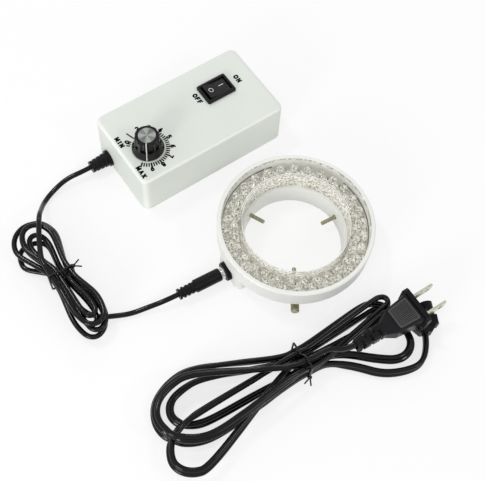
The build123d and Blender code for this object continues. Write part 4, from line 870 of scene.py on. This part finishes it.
def flat_lean():
    """How far the flat cord leans over at each point of its line."""
    tree = KDTree(len(line))
    for k, spot in enumerate(line):
        tree.insert(spot, k)
    tree.balance()
    travelled = [0.0]
    for a, b in zip(line, line[1:]):
        travelled.append(travelled[-1] + (b - a).length)
    room = []
    for k, spot in enumerate(line):
        others = tree.find_range(spot, LOOK_AROUND)
        near = [distance for _, j, distance in others if abs(travelled[j] - travelled[k]) > OWN_STRETCH]
        to_turns = (min(near, default=LOOK_AROUND) - TURN_CLOSE) / TURN_ROOM
        to_ends = (min(travelled[k], travelled[-1] - travelled[k]) - END_CLOSE) / END_ROOM
        room.append(min(1.0, max(0.0, to_turns), max(0.0, to_ends)))
    leans = []
    for k, share in enumerate(room):
        around = room[max(0, k - LEAN_SMOOTHING) : k + LEAN_SMOOTHING + 1]
        leans.append(LEAN * min(share, sum(around) / len(around)))
    return leans


CORE_RADIUS = 1.6
CORE_OFFSET = 1.2
section = arc_points(0.0, CORE_OFFSET, CORE_RADIUS, CORE_RADIUS, -40, 220, 13)
section += arc_points(0.0, -CORE_OFFSET, CORE_RADIUS, CORE_RADIUS, 140, 400, 13)
outlines = []
for k, (spot, lean) in enumerate(zip(line, flat_lean())):
    before = line[max(0, k - 1)]
    after = line[min(len(line) - 1, k + 1)]
    along = (after - before).normalized()
    side = UP.cross(along).normalized()
    up = along.cross(side)
    side, up = side * cos(lean) - up * sin(lean), up * cos(lean) + side * sin(lean)
    outlines.append([spot + side * x + up * y for x, y in section])
vertices, faces = [], []
skin(vertices, faces, outlines)
mains_cord = add_mesh("mains_lead", vertices, faces, cord_black, ROOT, smooth=True)
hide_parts("mains_cord_from_plug", "mains_cord_hank", "mains_cord_to_connector")

# Grip panels of the mains plug: a mesh of fine ribs on the top and the underside, with wider ribs round it
GRIP_NEAR = 5.0
GRIP_FAR = 17.6
CROSS_RIBS = 13
LONG_RIBS = 15
RIB_HEIGHT = 0.3
RIB_SINK = 0.05
TAPER_START = 3.0
TAPER_LENGTH = 17.0
HALF_HEIGHTS = (6.8, 5.6)
HALF_WIDTHS = (9.4, 7.6)
PANEL_SHARE = 0.76


def grip_spot(back, share, face_sign):
    """Just under the plug's tapered surface: back from its centre, and a share of the way to the side."""
    travelled = (back - TAPER_START) / TAPER_LENGTH
    half_height = HALF_HEIGHTS[0] + (HALF_HEIGHTS[1] - HALF_HEIGHTS[0]) * travelled
    half_width = (HALF_WIDTHS[0] + (HALF_WIDTHS[1] - HALF_WIDTHS[0]) * travelled) * PANEL_SHARE
    level = UP * (face_sign * (half_height - RIB_SINK))
    return PLUG_CENTRE - PLUG_WAY * back + PLUG_SIDE * (half_width * share) + level


def rib(start, end, edge, face_sign):
    width = 0.8 if edge else 0.3
    a = grip_spot(*start, face_sign)
    b = grip_spot(*end, face_sign)
    bar(vertices, faces, a, b, width, UP * (face_sign * RIB_HEIGHT))


vertices, faces = [], []
for face_sign in (-1.0, 1.0):
    for k in range(CROSS_RIBS):
        back = GRIP_NEAR + (GRIP_FAR - GRIP_NEAR) * k / (CROSS_RIBS - 1)
        rib((back, -1.0), (back, 1.0), k in (0, CROSS_RIBS - 1), face_sign)
    for k in range(LONG_RIBS):
        share = -1.0 + 2.0 * k / (LONG_RIBS - 1)
        rib((GRIP_NEAR, share), (GRIP_FAR, share), k in (0, LONG_RIBS - 1), face_sign)
grip = add_mesh("plug_grip_ribs", vertices, faces, grip_black, ROOT)


# Floor, light and camera, with lengths in metres
def background_rays(tree):
    """1 for the rays that show the background: seen straight, in a reflection or through clear plastic."""
    rays = tree.nodes.new("ShaderNodeLightPath")
    seen = maths(tree, "MAXIMUM", rays.outputs["Is Camera Ray"], rays.outputs["Is Glossy Ray"])
    return maths(tree, "MAXIMUM", seen, rays.outputs["Is Transmission Ray"])


def lamp(name, place, target, size, power):
    data = bpy.data.lights.new(name, "AREA")
    data.size = size
    data.energy = power
    obj = bpy.data.objects.new(name, data)
    bpy.context.scene.collection.objects.link(obj)
    obj.location = place
    obj.rotation_euler = (Vector(target) - Vector(place)).to_track_quat("-Z", "Y").to_euler()


FLOOR_HALF = 3
FLOOR_WHITE = 0.74
floor_mat = bpy.data.materials.new("floor_white")
floor_mat.use_nodes = True
tree = floor_mat.node_tree
tree.nodes.clear()
output = tree.nodes.new("ShaderNodeOutputMaterial")
base = tree.nodes.new("ShaderNodeBsdfDiffuse")
base.inputs["Color"].default_value = (0.93, 0.93, 0.93, 1.0)
glow = tree.nodes.new("ShaderNodeEmission")
glow.inputs["Strength"].default_value = 1.0
mix = tree.nodes.new("ShaderNodeMixShader")
tree.links.new(maths(tree, "MULTIPLY", background_rays(tree), FLOOR_WHITE), mix.inputs["Fac"])
tree.links.new(base.outputs["BSDF"], mix.inputs[1])
tree.links.new(glow.outputs["Emission"], mix.inputs[2])
tree.links.new(mix.outputs["Shader"], output.inputs["Surface"])
mesh = bpy.data.meshes.new("floor")
corners = [(FLOOR_HALF * x, FLOOR_HALF * y, 0) for x, y in ((-1, -1), (1, -1), (1, 1), (-1, 1))]
mesh.from_pydata(corners, [], [(0, 1, 2, 3)])
mesh.materials.append(floor_mat)
floor = bpy.data.objects.new("floor", mesh)
bpy.context.scene.collection.objects.link(floor)
floor.location.z = -0.0001

# The world shows a little brighter than the light it gives the object
WORLD_LIGHT = 0.81
WORLD_SEEN = 1.0
world = bpy.data.worlds.new("studio")
bpy.context.scene.world = world
world.use_nodes = True
tree = world.node_tree
tree.nodes.clear()
output = tree.nodes.new("ShaderNodeOutputWorld")
background = tree.nodes.new("ShaderNodeBackground")
shown = maths(tree, "MULTIPLY", background_rays(tree), WORLD_SEEN - WORLD_LIGHT)
tree.links.new(maths(tree, "ADD", shown, WORLD_LIGHT), background.inputs["Strength"])
tree.links.new(background.outputs["Background"], output.inputs["Surface"])

lamp("key", (-0.50, 0.30, 1.0), (-0.02, 0.0, 0.0), 0.14, 2.3)
lamp("fill", (0.7, -0.4, 0.8), (0.0, 0.0, 0.0), 0.2, 1.3)
lamp("front", (-0.55, -0.75, 0.35), (0.0, 0.0, 0.0), 0.3, 3.4)
lamp("strip", (-0.1, 0.9, 0.6), (0.0, 0.0, 0.0), 0.18, 0.9)

# The camera as it was fitted to the photograph: its axes when level, and then its roll
CAMERA_PLACE = Vector((-0.05095, -0.24274, 0.47349))
CAMERA_ROLL = radians(5.543)
camera_data = bpy.data.cameras.new("camera")
camera_data.sensor_width = 36.0
camera_data.lens = 63.60
camera_data.clip_start = 0.01
camera_data.clip_end = 20.0
camera = bpy.data.objects.new("camera", camera_data)
bpy.context.scene.collection.objects.link(camera)
level_right = Vector((0.9966, -0.0819, 0.0))
level_up = Vector((0.0728, 0.8858, 0.4584))
x_axis = (level_right * cos(CAMERA_ROLL) + level_up * sin(CAMERA_ROLL)).normalized()
z_axis = Vector((-0.0376, -0.4569, 0.8888)).normalized()
y_axis = z_axis.cross(x_axis).normalized()
turn = Matrix((x_axis, y_axis, z_axis)).transposed()
camera.matrix_world = Matrix.Translation(CAMERA_PLACE) @ turn.to_4x4()
bpy.context.scene.camera = camera
bpy.context.scene.view_settings.view_transform = "Standard"
